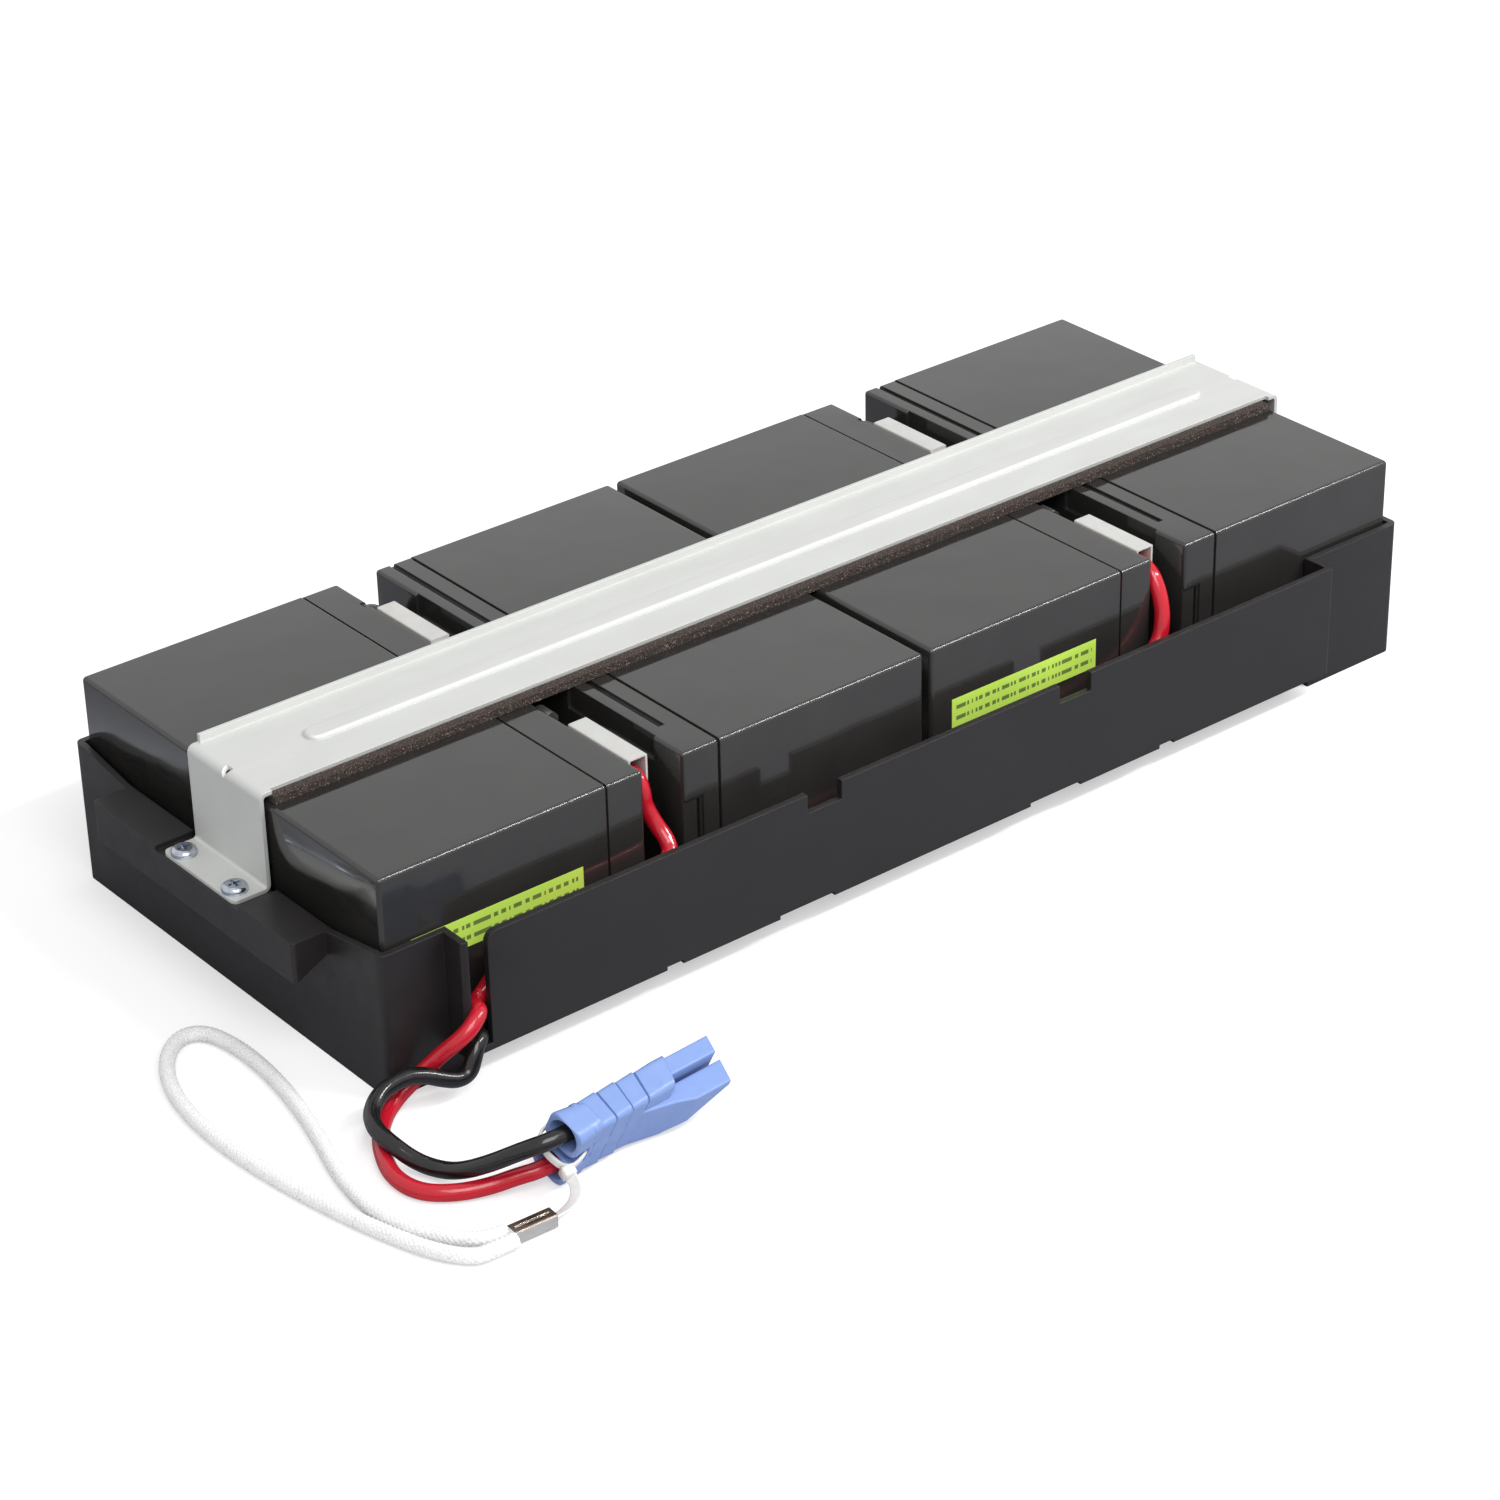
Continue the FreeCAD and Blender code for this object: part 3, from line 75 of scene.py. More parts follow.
def add(material, kind, **settings):
    """A new shader node, with its settings and its unlinked inputs filled in by name."""
    node = material.node_tree.nodes.new(kind)
    for name, value in settings.items():
        if hasattr(node, name):
            setattr(node, name, value)
        else:
            node.inputs[name.replace("_", " ")].default_value = value
    return node


def link(material, source, target):
    """Joins one node's output to another's input."""
    material.node_tree.links.new(source, target)


def place_pattern(material, scale=(1, 1, 1)):
    """The piece's own coordinates in millimetres, stretched by scale, for a pattern to follow."""
    coordinates = add(material, "ShaderNodeTexCoord")
    mapping = add(material, "ShaderNodeMapping")
    mapping.inputs["Scale"].default_value = [1000 * s for s in scale]
    link(material, coordinates.outputs["Object"], mapping.inputs["Vector"])
    return mapping.outputs["Vector"]


def mottle(material, size, scale=(1, 1, 1), detail=3.0, sharp=0.5):
    """Soft noise whose patches are about size millimetres across, from 0 to 1."""
    noise = add(material, "ShaderNodeTexNoise", Scale=1 / size, Detail=detail, Roughness=sharp)
    link(material, place_pattern(material, scale), noise.inputs["Vector"])
    return noise.outputs["Fac"]


def between(material, amount, low, high, start=0.0, end=1.0):
    """A number that goes from low to high while amount goes from start to end."""
    node = add(material, "ShaderNodeMapRange", clamp=True)
    for name, value in (("From Min", start), ("From Max", end), ("To Min", low), ("To Max", high)):
        node.inputs[name].default_value = value
    link(material, amount, node.inputs["Value"])
    return node.outputs["Result"]


def blend_colours(material, amount, low, high):
    """A colour that goes from low to high with amount; each is a colour or another node's output."""
    node = add(material, "ShaderNodeMix", data_type="RGBA")
    link(material, amount, node.inputs["Factor"])
    for socket, colour in ((node.inputs[6], low), (node.inputs[7], high)):
        if isinstance(colour, tuple):
            socket.default_value = (*colour, 1)
        else:
            link(material, colour, socket)
    return node.outputs[2]


def raise_surface(material, height, depth, under=None):
    """Bump of depth millimetres, laid over an earlier bump or rounded edges if one is given."""
    bump = add(material, "ShaderNodeBump", Distance=depth * MM, Strength=1.0)
    link(material, height, bump.inputs["Height"])
    if under:
        link(material, under, bump.inputs["Normal"])
    return bump.outputs["Normal"]


def round_edges(material, radius):
    """The small round that every moulded or pressed edge has, radius in millimetres."""
    edge = add(material, "ShaderNodeBevel", samples=4, Radius=radius * MM)
    return edge.outputs["Normal"]


def feed(material, **outputs):
    """Links outputs to the main shader's sockets by name."""
    shader = material.node_tree.nodes["Principled BSDF"]
    for socket, output in outputs.items():
        link(material, output, shader.inputs[socket.replace("_", " ")])


def dress(material, *names):
    """These CAD pieces take this material."""
    for name in names:
        slots = nodes[name].data.materials
        slots.clear()
        slots.append(material)


def smooth_bends():
    """A node tree that joins loose triangles and shades every bend under 35 degrees smoothly."""
    tree = bpy.data.node_groups.new("smooth_bends", "GeometryNodeTree")
    for way in ("INPUT", "OUTPUT"):
        tree.interface.new_socket("Geometry", in_out=way, socket_type="NodeSocketGeometry")
    enter = tree.nodes.new("NodeGroupInput")
    leave = tree.nodes.new("NodeGroupOutput")
    merge = tree.nodes.new("GeometryNodeMergeByDistance")
    merge.inputs["Distance"].default_value = 0.005 * MM
    smooth = tree.nodes.new("GeometryNodeSetShadeSmooth")
    crease = tree.nodes.new("GeometryNodeSetShadeSmooth")
    crease.domain = "EDGE"
    crease.inputs["Shade Smooth"].default_value = False
    angle = tree.nodes.new("GeometryNodeInputMeshEdgeAngle")
    steep = tree.nodes.new("FunctionNodeCompare")
    steep.operation = "GREATER_THAN"
    steep.inputs["B"].default_value = math.radians(35)
    for source, target in ((enter.outputs[0], merge.inputs["Geometry"]),
                           (merge.outputs["Geometry"], smooth.inputs["Geometry"]),
                           (smooth.outputs["Geometry"], crease.inputs["Geometry"]),
                           (angle.outputs["Unsigned Angle"], steep.inputs["A"]),
                           (steep.outputs["Result"], crease.inputs["Selection"]),
                           (crease.outputs["Geometry"], leave.inputs[0])):
        tree.links.new(source, target)
    return tree


SMOOTH_BENDS = smooth_bends()


def soften(*names):
    """These CAD pieces get smooth shading over their bends."""
    for name in names:
        nodes[name].modifiers.new("smooth_bends", "NODES").node_group = SMOOTH_BENDS


tray_plastic = new_material("tray_plastic", (0.02, 0.018, 0.018), 0.42, Specular_IOR_Level=0.42)
feed(tray_plastic,
     Base_Color=blend_colours(tray_plastic, mottle(tray_plastic, 40), (0.010, 0.0088, 0.009),
                              (0.0165, 0.0142, 0.0145)),
     Roughness=between(tray_plastic, mottle(tray_plastic, 12), 0.36, 0.5, start=0.3, end=0.7),
     Normal=raise_surface(tray_plastic, mottle(tray_plastic, 0.35), 0.012, round_edges(tray_plastic, 0.5)))
dress(tray_plastic, "tray")
soften("tray")


# Floor pads
# Eight squares of dark foam tape on the tray's floor, one under each block, hidden once it is filled.
pad_foam = new_material("pad_foam", (0.03, 0.03, 0.03), 0.9)
feed(pad_foam,
     Base_Color=blend_colours(pad_foam, mottle(pad_foam, 1.5), (0.02, 0.02, 0.02), (0.05, 0.05, 0.05)),
     Normal=raise_surface(pad_foam, mottle(pad_foam, 0.8), 0.2))
dress(pad_foam, "floor_pads")


# Battery cases and lids
# Glossy black mouldings, polished in the tool, that sink a little between their edges, so that
# reflections bend over them. Each lid is bonded on its case along a thin dark seam.
BLOCKS = range(1, 9)
CASES = ["battery_case_%d" % n for n in BLOCKS]
LIDS = ["battery_lid_%d" % n for n in BLOCKS]

battery_plastic = new_material("battery_plastic", (0.026, 0.024, 0.021), 0.1, Specular_IOR_Level=0.62)
sink = raise_surface(battery_plastic, mottle(battery_plastic, 26, detail=1.0), 0.25,
                     round_edges(battery_plastic, 0.5))
feed(battery_plastic,
     Base_Color=blend_colours(battery_plastic, mottle(battery_plastic, 18), (0.018, 0.0172, 0.0168),
                              (0.029, 0.0275, 0.0262)),
     Roughness=between(battery_plastic, mottle(battery_plastic, 5, (1, 0.3, 1)), 0.06, 0.14,
                       start=0.35, end=0.7),
     Normal=raise_surface(battery_plastic, mottle(battery_plastic, 0.5), 0.003, sink))
dress(battery_plastic, *CASES, *LIDS)
soften(*CASES, *LIDS)


# Terminal tabs
# Two tin-plated brass blades in the well of each lid, stamped with cut-off corners.
brass = new_material("terminal_brass", (0.72, 0.62, 0.42), 0.32, 1.0)
feed(brass,
     Base_Color=blend_colours(brass, mottle(brass, 3), (0.66, 0.58, 0.42), (0.78, 0.7, 0.52)),
     Roughness=between(brass, mottle(brass, 0.6, (1, 0.1, 1)), 0.25, 0.42, start=0.3, end=0.7))
dress(brass, *("terminal_tabs_%d" % n for n in BLOCKS))


# Terminal clips
# Tinned push-on receptacles, rolled from sheet, with the barrel that grips the wire.
tinned = new_material("tinned_clip", (0.72, 0.71, 0.68), 0.34, 1.0)
feed(tinned,
     Base_Color=blend_colours(tinned, mottle(tinned, 2), (0.66, 0.65, 0.62), (0.78, 0.77, 0.74)),
     Roughness=between(tinned, mottle(tinned, 0.8), 0.28, 0.42, start=0.3, end=0.7))
dress(tinned, "terminal_clips")
soften("terminal_clips")


# Terminal covers
# Thin milky nylon boxes closed over the high clips in the gaps, a little see-through.
COVERS = ["terminal_cover_%d" % n for n in range(1, 5)]
nylon = new_material("cover_nylon", (0.5, 0.5, 0.48), 0.38, Subsurface_Weight=0.25, Subsurface_Scale=2 * MM)
feed(nylon,
     Base_Color=blend_colours(nylon, mottle(nylon, 6), (0.44, 0.445, 0.43), (0.54, 0.54, 0.52)),
     Roughness=between(nylon, mottle(nylon, 3), 0.3, 0.45, start=0.3, end=0.7),
     Normal=raise_surface(nylon, mottle(nylon, 4, detail=1.0), 0.15, round_edges(nylon, 0.4)))
dress(nylon, *COVERS)
soften(*COVERS)


# Held wires
# The jumpers between the blocks and the held part of the two leads: stranded copper in a glossy
# vinyl jacket, laid in the gaps and in the channel along the near side.
def jacket(name, dark, light):
    """Vinyl wire jacket: a smooth skin, slightly uneven in tone and in gloss."""
    material = new_material(name, light, 0.18)
    feed(material,
         Base_Color=blend_colours(material, mottle(material, 9), dark, light),
         Roughness=between(material, mottle(material, 4), 0.12, 0.24, start=0.3, end=0.7),
         Normal=raise_surface(material, mottle(material, 3, detail=1.0), 0.06))
    return material


red_vinyl = jacket("red_vinyl", (0.4, 0.005, 0.015), (0.54, 0.01, 0.026))
black_vinyl = jacket("black_vinyl", (0.004, 0.004, 0.0045), (0.01, 0.0098, 0.0102))
RED_WIRES = ["series_jumper_7"]
BLACK_WIRES = ["black_feed_wire"] + ["series_jumper_%d" % n for n in range(1, 7)]
dress(red_vinyl, *RED_WIRES)
dress(black_vinyl, *BLACK_WIRES)
soften(*RED_WIRES, *BLACK_WIRES)

WIRE_R = 2.9 * MM
# The wires leave the channel one above the other through the slot at its end, in its middle
SLOT_EXIT_X = 38.1
CHANNEL_MID_Y = -5.75
RED_EXIT_Z = 31.8


def smooth_line(name, points):
    """One NURBS line with the route's points as its control points."""
    curve = bpy.data.curves.new(name, "CURVE")
    curve.dimensions = "3D"
    curve.resolution_u = 12
    spline = curve.splines.new("NURBS")
    spline.points.add(len(points) - 1)
    spline.points.foreach_set("co", np.column_stack([points, np.ones(len(points))]).ravel())
    spline.order_u = 3
    spline.use_endpoint_u = True
    line = bpy.data.objects.new(name, curve)
    bpy.context.scene.collection.objects.link(line)
    return line


def wire(name, points, material):
    """A round wire of the leads' thickness along a line, closed at both ends."""
    line = smooth_line(name, points)
    line.data.bevel_depth = WIRE_R
    line.data.bevel_resolution = 6
    line.data.use_fill_caps = True
    line.data.materials.append(material)
    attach(line, "root")
    return line


# The red feed drops from its clip inside the gap, close to the lid, and runs low behind the panel
# to the slot. Its CAD form reaches FEED_BULGE past the clip's middle. Places in the bay.
FEED_BULGE = 3.15
feed_high = np.subtract(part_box("red_feed_wire")[1], BAY) / MM
clip_x = feed_high[0] - FEED_BULGE
clip_y = feed_high[1]
clip_z = feed_high[2] - WIRE_R / MM
RED_FEED = [(clip_x, clip_y, clip_z), (clip_x, clip_y - 6, clip_z - 1), (clip_x, 9, 73.6),
            (clip_x + 0.2, 6.4, 69), (clip_x + 1, 6.8, 63), (clip_x + 3.4, 4.6, 56),
            (clip_x + 5, -0.6, 50.4), (clip_x + 2.6, -4.8, 47), (clip_x - 5, CHANNEL_MID_Y, 45.9),
            (clip_x - 18, CHANNEL_MID_Y, 45.6), (clip_x - 38, CHANNEL_MID_Y, 45),
            (clip_x - 54, CHANNEL_MID_Y, 39.5), (SLOT_EXIT_X + 9, CHANNEL_MID_Y, RED_EXIT_Z),
            (SLOT_EXIT_X, CHANNEL_MID_Y, RED_EXIT_Z)]
red_feed = wire("red_feed", bay(RED_FEED), red_vinyl)
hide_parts("red_feed_wire")


# Block labels
# Two strips of bright green film on the near sides of the first and third block. Each carries two
# rows of dashes in dark ink.
ROW_HEIGHTS = (0.3, 0.68)
ROW_HALF = 0.07
DASH_LENGTH = 1.6
CLEAR_ENDS = 2.0


def label_film(name):
    """Green film with its two rows at these shares of the label's height. Noise that changes only
    along the label cuts the rows into dashes, clear of the label's ends."""
    low, high = (np.array(corner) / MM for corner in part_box(name))
    film = new_material("label_film", (0.52, 0.76, 0.1), 0.36)
    place = add(film, "ShaderNodeSeparateXYZ")
    link(film, place_pattern(film), place.inputs[0])
    inside = add(film, "ShaderNodeMath", operation="COMPARE")
    link(film, place.outputs["X"], inside.inputs[0])
    inside.inputs[1].default_value = (low[0] + high[0]) / 2
    inside.inputs[2].default_value = (high[0] - low[0]) / 2 - CLEAR_ENDS
    rows = add(film, "ShaderNodeMath", operation="ADD")
    for socket, share in enumerate(ROW_HEIGHTS):
        row = add(film, "ShaderNodeMath", operation="COMPARE")
        link(film, place.outputs["Z"], row.inputs[0])
        row.inputs[1].default_value = low[2] + share * (high[2] - low[2])
        row.inputs[2].default_value = ROW_HALF * (high[2] - low[2])
        link(film, row.outputs[0], rows.inputs[socket])
    printed = between(film, mottle(film, DASH_LENGTH, (1, 0, 0), detail=0.0), 0, 0.85, start=0.47, end=0.49)
    for mask in (inside.outputs[0], rows.outputs[0]):
        both = add(film, "ShaderNodeMath", operation="MULTIPLY")
        link(film, printed, both.inputs[0])
        link(film, mask, both.inputs[1])
        printed = both.outputs[0]
    green = blend_colours(film, mottle(film, 14), (0.48, 0.72, 0.09), (0.54, 0.78, 0.12))
    feed(film,
         Base_Color=blend_colours(film, printed, green, (0.07, 0.1, 0.04)),
         Roughness=between(film, mottle(film, 5), 0.3, 0.44, start=0.3, end=0.7))
    return film


for label in ("battery_sticker_1", "battery_sticker_2"):
    dress(label_film(label), label)


# Strap foam
# Two strips of brown open-cell foam glued under the strap, cut with a knife, so their sides are rough.
foam = new_material("strap_foam", (0.045, 0.035, 0.03), 0.95, Specular_IOR_Level=0.2)
foam_brown = blend_colours(foam, mottle(foam, 0.9, detail=6.0, sharp=0.7), (0.018, 0.014, 0.012),
                           (0.075, 0.058, 0.05))
foam_specks = between(foam, mottle(foam, 0.5, detail=1.0), 0, 1, start=0.63, end=0.7)
feed(foam,
     Base_Color=blend_colours(foam, foam_specks, foam_brown, (0.3, 0.22, 0.2)),
     Normal=raise_surface(foam, mottle(foam, 0.9, detail=4.0), 0.9))
dress(foam, "strap_foam_near", "strap_foam_far")


# Hold-down strap
# Pressed from zinc-coated sheet: a foot, a leg at each end, a bead along the middle and a lip
# turned up along the far edge. The coating is dull, with rolling marks along the strip.
zinc_sheet = new_material("zinc_sheet", (0.6, 0.605, 0.59), 0.55, 0.6)
feed(zinc_sheet,
     Base_Color=blend_colours(zinc_sheet, mottle(zinc_sheet, 12, (0.5, 1, 1)), (0.565, 0.572, 0.557),
                              (0.62, 0.627, 0.61)),
     Roughness=between(zinc_sheet, mottle(zinc_sheet, 2.5, (0.08, 1, 1)), 0.58, 0.68, start=0.3, end=0.7),
     Normal=raise_surface(zinc_sheet, mottle(zinc_sheet, 0.6, (0.1, 1, 1)), 0.004,
                          round_edges(zinc_sheet, 0.5)))
dress(zinc_sheet, "hold_down_strap")
soften("hold_down_strap")


# Strap screws
# Pan-head screws with a cross recess, bright zinc with a blue tint, two in the foot and two in the
# rear leg.
screw_zinc = new_material("screw_zinc", (0.5, 0.54, 0.6), 0.12, 1.0)
feed(screw_zinc,
     Base_Color=blend_colours(screw_zinc, mottle(screw_zinc, 1.5), (0.2, 0.24, 0.32), (0.72, 0.75, 0.8)),
     Roughness=between(screw_zinc, mottle(screw_zinc, 1.0), 0.08, 0.18, start=0.3, end=0.7))
dress(screw_zinc, "strap_screws_front", "strap_screws_rear")
soften("strap_screws_front", "strap_screws_rear")


# Connector
# A blue two-pole power plug, moulded in one piece: grip ribs round its narrow sides, a flared port
# for each wire and two plain tongues in front. It lies leaning on one narrow side. A flat
# silver-plated contact sits inside each pole.

# How it lies: its turns in degrees, and the place of its wire end in the bay. Half its width and
# half its thickness, the round edge that it rests on, and the poles' distance from the middle
PLUG_ROLL = 26.5
PLUG_YAW = 4.0
PLUG_REAR = (8.0, -78.5)
PLUG_HALF_W = 14.1
PLUG_HALF_T = 6.7
PLUG_EDGE = 1.8
PLUG_OVER_FLOOR = 0.05
POLE = 8.5
leaned = math.radians(PLUG_ROLL)
plug_lift = ((PLUG_HALF_W - PLUG_EDGE) * math.cos(leaned) + (PLUG_HALF_T - PLUG_EDGE) * math.sin(leaned)
             + PLUG_EDGE)
PLUG = (Matrix.Translation(bay((*PLUG_REAR, plug_lift)))
        @ Matrix.Rotation(math.radians(PLUG_YAW), 4, "Z") @ Matrix.Rotation(leaned, 4, "X"))
plug_turn = np.array(PLUG.to_3x3())


def plug_frame(x, y, z):
    """A place on the plug in the part's frame: x from its wire end, y through its thickness and z
    across its width, in millimetres."""
    return PLUG @ Vector((x * MM, y * MM, z * MM))


def unit(vectors):
    """The same directions, each with length 1."""
    return vectors / np.linalg.norm(vectors, axis=-1, keepdims=True)


def mesh_piece(name, vertices, faces, material, uv=None):
    """A smooth-shaded mesh at the origin from arrays of corners and four-sided faces."""
    mesh = bpy.data.meshes.new(name)
    vertices = np.asarray(vertices, float).reshape(-1, 3)
    faces = np.asarray(faces, int)
    mesh.vertices.add(len(vertices))
    mesh.vertices.foreach_set("co", vertices.ravel())
    mesh.loops.add(faces.size)
    mesh.loops.foreach_set("vertex_index", faces.ravel())
    mesh.polygons.add(len(faces))
    mesh.polygons.foreach_set("loop_start", np.arange(len(faces)) * faces.shape[1])
    mesh.polygons.foreach_set("loop_total", np.full(len(faces), faces.shape[1]))
    mesh.polygons.foreach_set("use_smooth", np.ones(len(faces), bool))
    mesh.update(calc_edges=True)
    mesh.validate()
    if uv is not None:
        mesh.uv_layers.new(name="UVMap").data.foreach_set("uv", uv[faces.ravel()].ravel())
    piece = bpy.data.objects.new(name, mesh)
    piece.data.materials.append(material)
    bpy.context.scene.collection.objects.link(piece)
    return piece


def tube_faces(rings, sides):
    """Four-sided faces between rings of corners, closed round each ring, pointing outwards."""
    i, j = np.meshgrid(np.arange(rings - 1), np.arange(sides), indexing="ij")
    a = i * sides + j
    b = i * sides + (j + 1) % sides
    return np.stack([a, b, b + sides, a + sides], axis=-1).reshape(-1, 4)


def join(parts):
    """Several sets of corners and faces as one."""
    corners, faces, count = [], [], 0
    for some_corners, some_faces in parts:
        corners.append(some_corners)
        faces.append(some_faces + count)
        count += len(some_corners)
    return np.concatenate(corners), np.concatenate(faces)


def rounded(half_y, half_z, radius, mid_y=0.0, mid_z=0.0):
    """The outline of a block with rounded corners, as places (y, z): at each corner 6 places on a
    quarter circle, and then 9 on the straight edge to the next corner."""
    places = []
    for quarter, (way_y, way_z) in enumerate(((1, 1), (-1, 1), (-1, -1), (1, -1))):
        turn = np.radians(np.linspace(0, 90, 6) + 90 * quarter)
        arc = np.column_stack([way_y * (half_y - radius) + radius * np.cos(turn),
                               way_z * (half_z - radius) + radius * np.sin(turn)])
        end = arc[-1] * ((1, -1) if quarter % 2 else (-1, 1))
        straight = arc[-1] + (end - arc[-1]) * (np.arange(1, 10) / 10)[:, None]
        places += [arc, straight]
    return np.concatenate(places) + (mid_y, mid_z)


def plug_shell(rings):
    """One closed skin from rings of places on the plug, its ends drawn to their middles. None of it
    goes below the floor, and its faces are turned round if they point inwards."""
    rings = np.asarray(rings, float)
    sides = rings.shape[1]
    first, last = (np.repeat(rings[k].mean(axis=0)[None, None], sides, axis=1) for k in (0, -1))
    corners = np.concatenate([first, rings, last]).reshape(-1, 3)
    corners = corners @ plug_turn.T * MM + np.array(PLUG.translation)
    corners[:, 2] = np.maximum(corners[:, 2], PLUG_OVER_FLOOR * MM)
    faces = tube_faces(len(rings) + 2, sides)
    a, b, c, d = (corners[faces[:, k]] - corners.mean(axis=0) for k in range(4))
    volume = (a * (np.cross(b, c) + np.cross(c, d))).sum()
    return corners, faces if volume > 0 else faces[:, ::-1]


# The body and its ribs, with x from the plug's wire end
BODY_FROM = 7.0
BODY_TO = 46.0
BODY_STEP = 0.3
BODY_HALF_T = 6.35
BODY_HALF_W = 13.2
BODY_CORNER = 1.9
BODY_MID_Y = 0.35
BODY_DRAFT = 0.6
REAR_LEAN = 1.6
FRONT_LEAN = -4.0
RIB_FIRST = 9.0
RIB_PITCH = 8.0
RIBS = 4
RIB_DEPTH = 0.8
RIB_GROOVE = 1.0
GROOVE_SHARE = 0.11
WIDE_FACE_SHARE = 0.6
WRAP_FROM = 1.5
WRAP_OVER = 2.5


def on_face(distance, half):
    """1 on a face that lies half away from the middle, and soon 0 inside it: the sixth power."""
    return (np.abs(distance) / half) ** 6


def body_shell():
    """The body: each rib steps in at its start and rises to its end, over both narrow faces and a
    little way onto the wide ones. Towards the front one wide face draws in."""
    rings = []
    for x in np.arange(BODY_FROM, BODY_TO + 0.01, BODY_STEP):
        share = (x - BODY_FROM) / (BODY_TO - BODY_FROM)
        half_y = BODY_HALF_T - BODY_DRAFT * share
        mid_y = BODY_MID_Y + BODY_DRAFT * share
        y, z = rounded(half_y, BODY_HALF_W, BODY_CORNER, mid_y).T
        count = (x - RIB_FIRST) / RIB_PITCH
        depth = 0.0
        if 0 <= count < RIBS:
            depth = RIB_DEPTH * (1 - count % 1) + (RIB_GROOVE if count % 1 < GROOVE_SHARE else 0)
        wrap = np.clip((np.abs(z) - WRAP_FROM) / WRAP_OVER, 0, 1)
        y = y - np.sign(y - mid_y) * WIDE_FACE_SHARE * depth * wrap * on_face(y - mid_y, half_y)
        z = z - np.sign(z) * depth * on_face(z, BODY_HALF_W)
        lean = REAR_LEAN + (FRONT_LEAN - REAR_LEAN) * share
        rings.append(np.column_stack([x + lean * (PLUG_HALF_T - y) / (2 * PLUG_HALF_T), y, z]))
    return plug_shell(rings)


# For each ring of a lobe, its distance from the wire end and how far it stands out there
LOBE_FLARE = ((11, -0.8), (8.6, -0.3), (6, 0), (3, 0.3), (1.2, 0.5), (0.3, 0.4), (0, 0))
LOBE_HALF_T = 6.5
LOBE_HALF_W = 6.0
LOBE_CORNER = 3.2
LOBE_MID_Y = 0.2
LOBE_MID_Z = 7.8
LOBE_LEAN = 0.1
PORT_DEPTH = 7.0
# For each ring of the port, its depth and its radius
PORT_RINGS = ((0, 5.8), (0.5, 5.5), (PORT_DEPTH, 5.3))


def lobe_shell(pole):
    """A flared lobe round a wire's port: its skin runs to the wire end, over the rim and into the
    round port."""
    mid_z = math.copysign(LOBE_MID_Z, pole)
    rings = []
    for x, grow in LOBE_FLARE:
        y, z = rounded(LOBE_HALF_T + grow, LOBE_HALF_W + 0.5 * grow, LOBE_CORNER, LOBE_MID_Y, mid_z).T
        rings.append(np.column_stack([x + LOBE_LEAN * (PLUG_HALF_T - y), y, z]))
    away = unit(rounded(LOBE_HALF_T, LOBE_HALF_W, LOBE_CORNER))
    for x, port in PORT_RINGS:
        y, z = (port * away).T
        rings.append(np.column_stack([x + LOBE_LEAN * (PLUG_HALF_T - y), y, mid_z + z]))
    return plug_shell(rings)


TONGUE_FROM = 30.0
TONGUE_STEP = 1.0
TONGUE_CORNER = 0.5
LEAN_FROM = 42.0
LEAN_OVER = 24.0
TONGUE_LEAN = 0.22


def tongue_shell(back, top, front, low, reach):
    """A plain tongue from inside the body to reach: back and top are straight, and front and low go
    through places (x, y) and (x, z). Its end leans back."""
    rings = []
    for x in np.arange(TONGUE_FROM, reach + 0.01, TONGUE_STEP):
        front_y, low_z = (np.interp(x, *zip(*places)) for places in (front, low))
        y, z = rounded((back - front_y) / 2, (top - low_z) / 2, TONGUE_CORNER,
                       (back + front_y) / 2, (top + low_z) / 2).T
        lean = max(x - LEAN_FROM, 0) / LEAN_OVER * TONGUE_LEAN
        rings.append(np.column_stack([x - lean * (PLUG_HALF_T - y), y, z]))
    return plug_shell(rings)


connector_blue = new_material("connector_blue", (0.2, 0.3, 0.58), 0.4)
feed(connector_blue,
     Base_Color=blend_colours(connector_blue, mottle(connector_blue, 10), (0.165, 0.26, 0.54),
                              (0.2, 0.295, 0.59)),
     Roughness=between(connector_blue, mottle(connector_blue, 3), 0.3, 0.46, start=0.3, end=0.7),
     Normal=raise_surface(connector_blue, mottle(connector_blue, 4, detail=2.0), 0.12,
                          round_edges(connector_blue, 0.6)))

# The back tongue is high; the front one swells out of the wide face and is cut off below
back_tongue = tongue_shell(back=6.4, top=10.2, front=((30, 0), (66, -0.1)),
                           low=((30, -10.8), (50, -10.4), (60, -7.6), (66, -5)), reach=66)
front_tongue = tongue_shell(back=-1.3, top=5.8, front=((30, -5), (44, -7.6), (52, -9.7), (69, -9.7)),
                            low=((30, -12.4), (42, -12), (50, -8.4), (56, -4.6), (69, 3.2)), reach=69)
plug_parts = [body_shell(), lobe_shell(-POLE), lobe_shell(POLE), back_tongue, front_tongue]
plug = mesh_piece("plug_housing", *join(plug_parts), connector_blue)
plug.modifiers.new("smooth_bends", "NODES").node_group = SMOOTH_BENDS
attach(plug, "root")
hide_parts("connector_housing")


def read_line(line, step):
    """Points along a line, evenly spaced by about step metres, and the line's length."""
    flat = bpy.data.meshes.new_from_object(line)
    points = np.empty(3 * len(flat.vertices))
    flat.vertices.foreach_get("co", points)
    points = points.reshape(-1, 3)
    bpy.data.meshes.remove(flat)
    far = np.concatenate([[0], np.cumsum(np.linalg.norm(np.diff(points, axis=0), axis=1))])
    even = np.linspace(0, far[-1], int(far[-1] / step) + 1)
    return np.column_stack([np.interp(even, far, points[:, k]) for k in range(3)]), far[-1]


BAND_STEP = 0.4
BAND_SIDES = 16
BAND_ROUND = 0.4


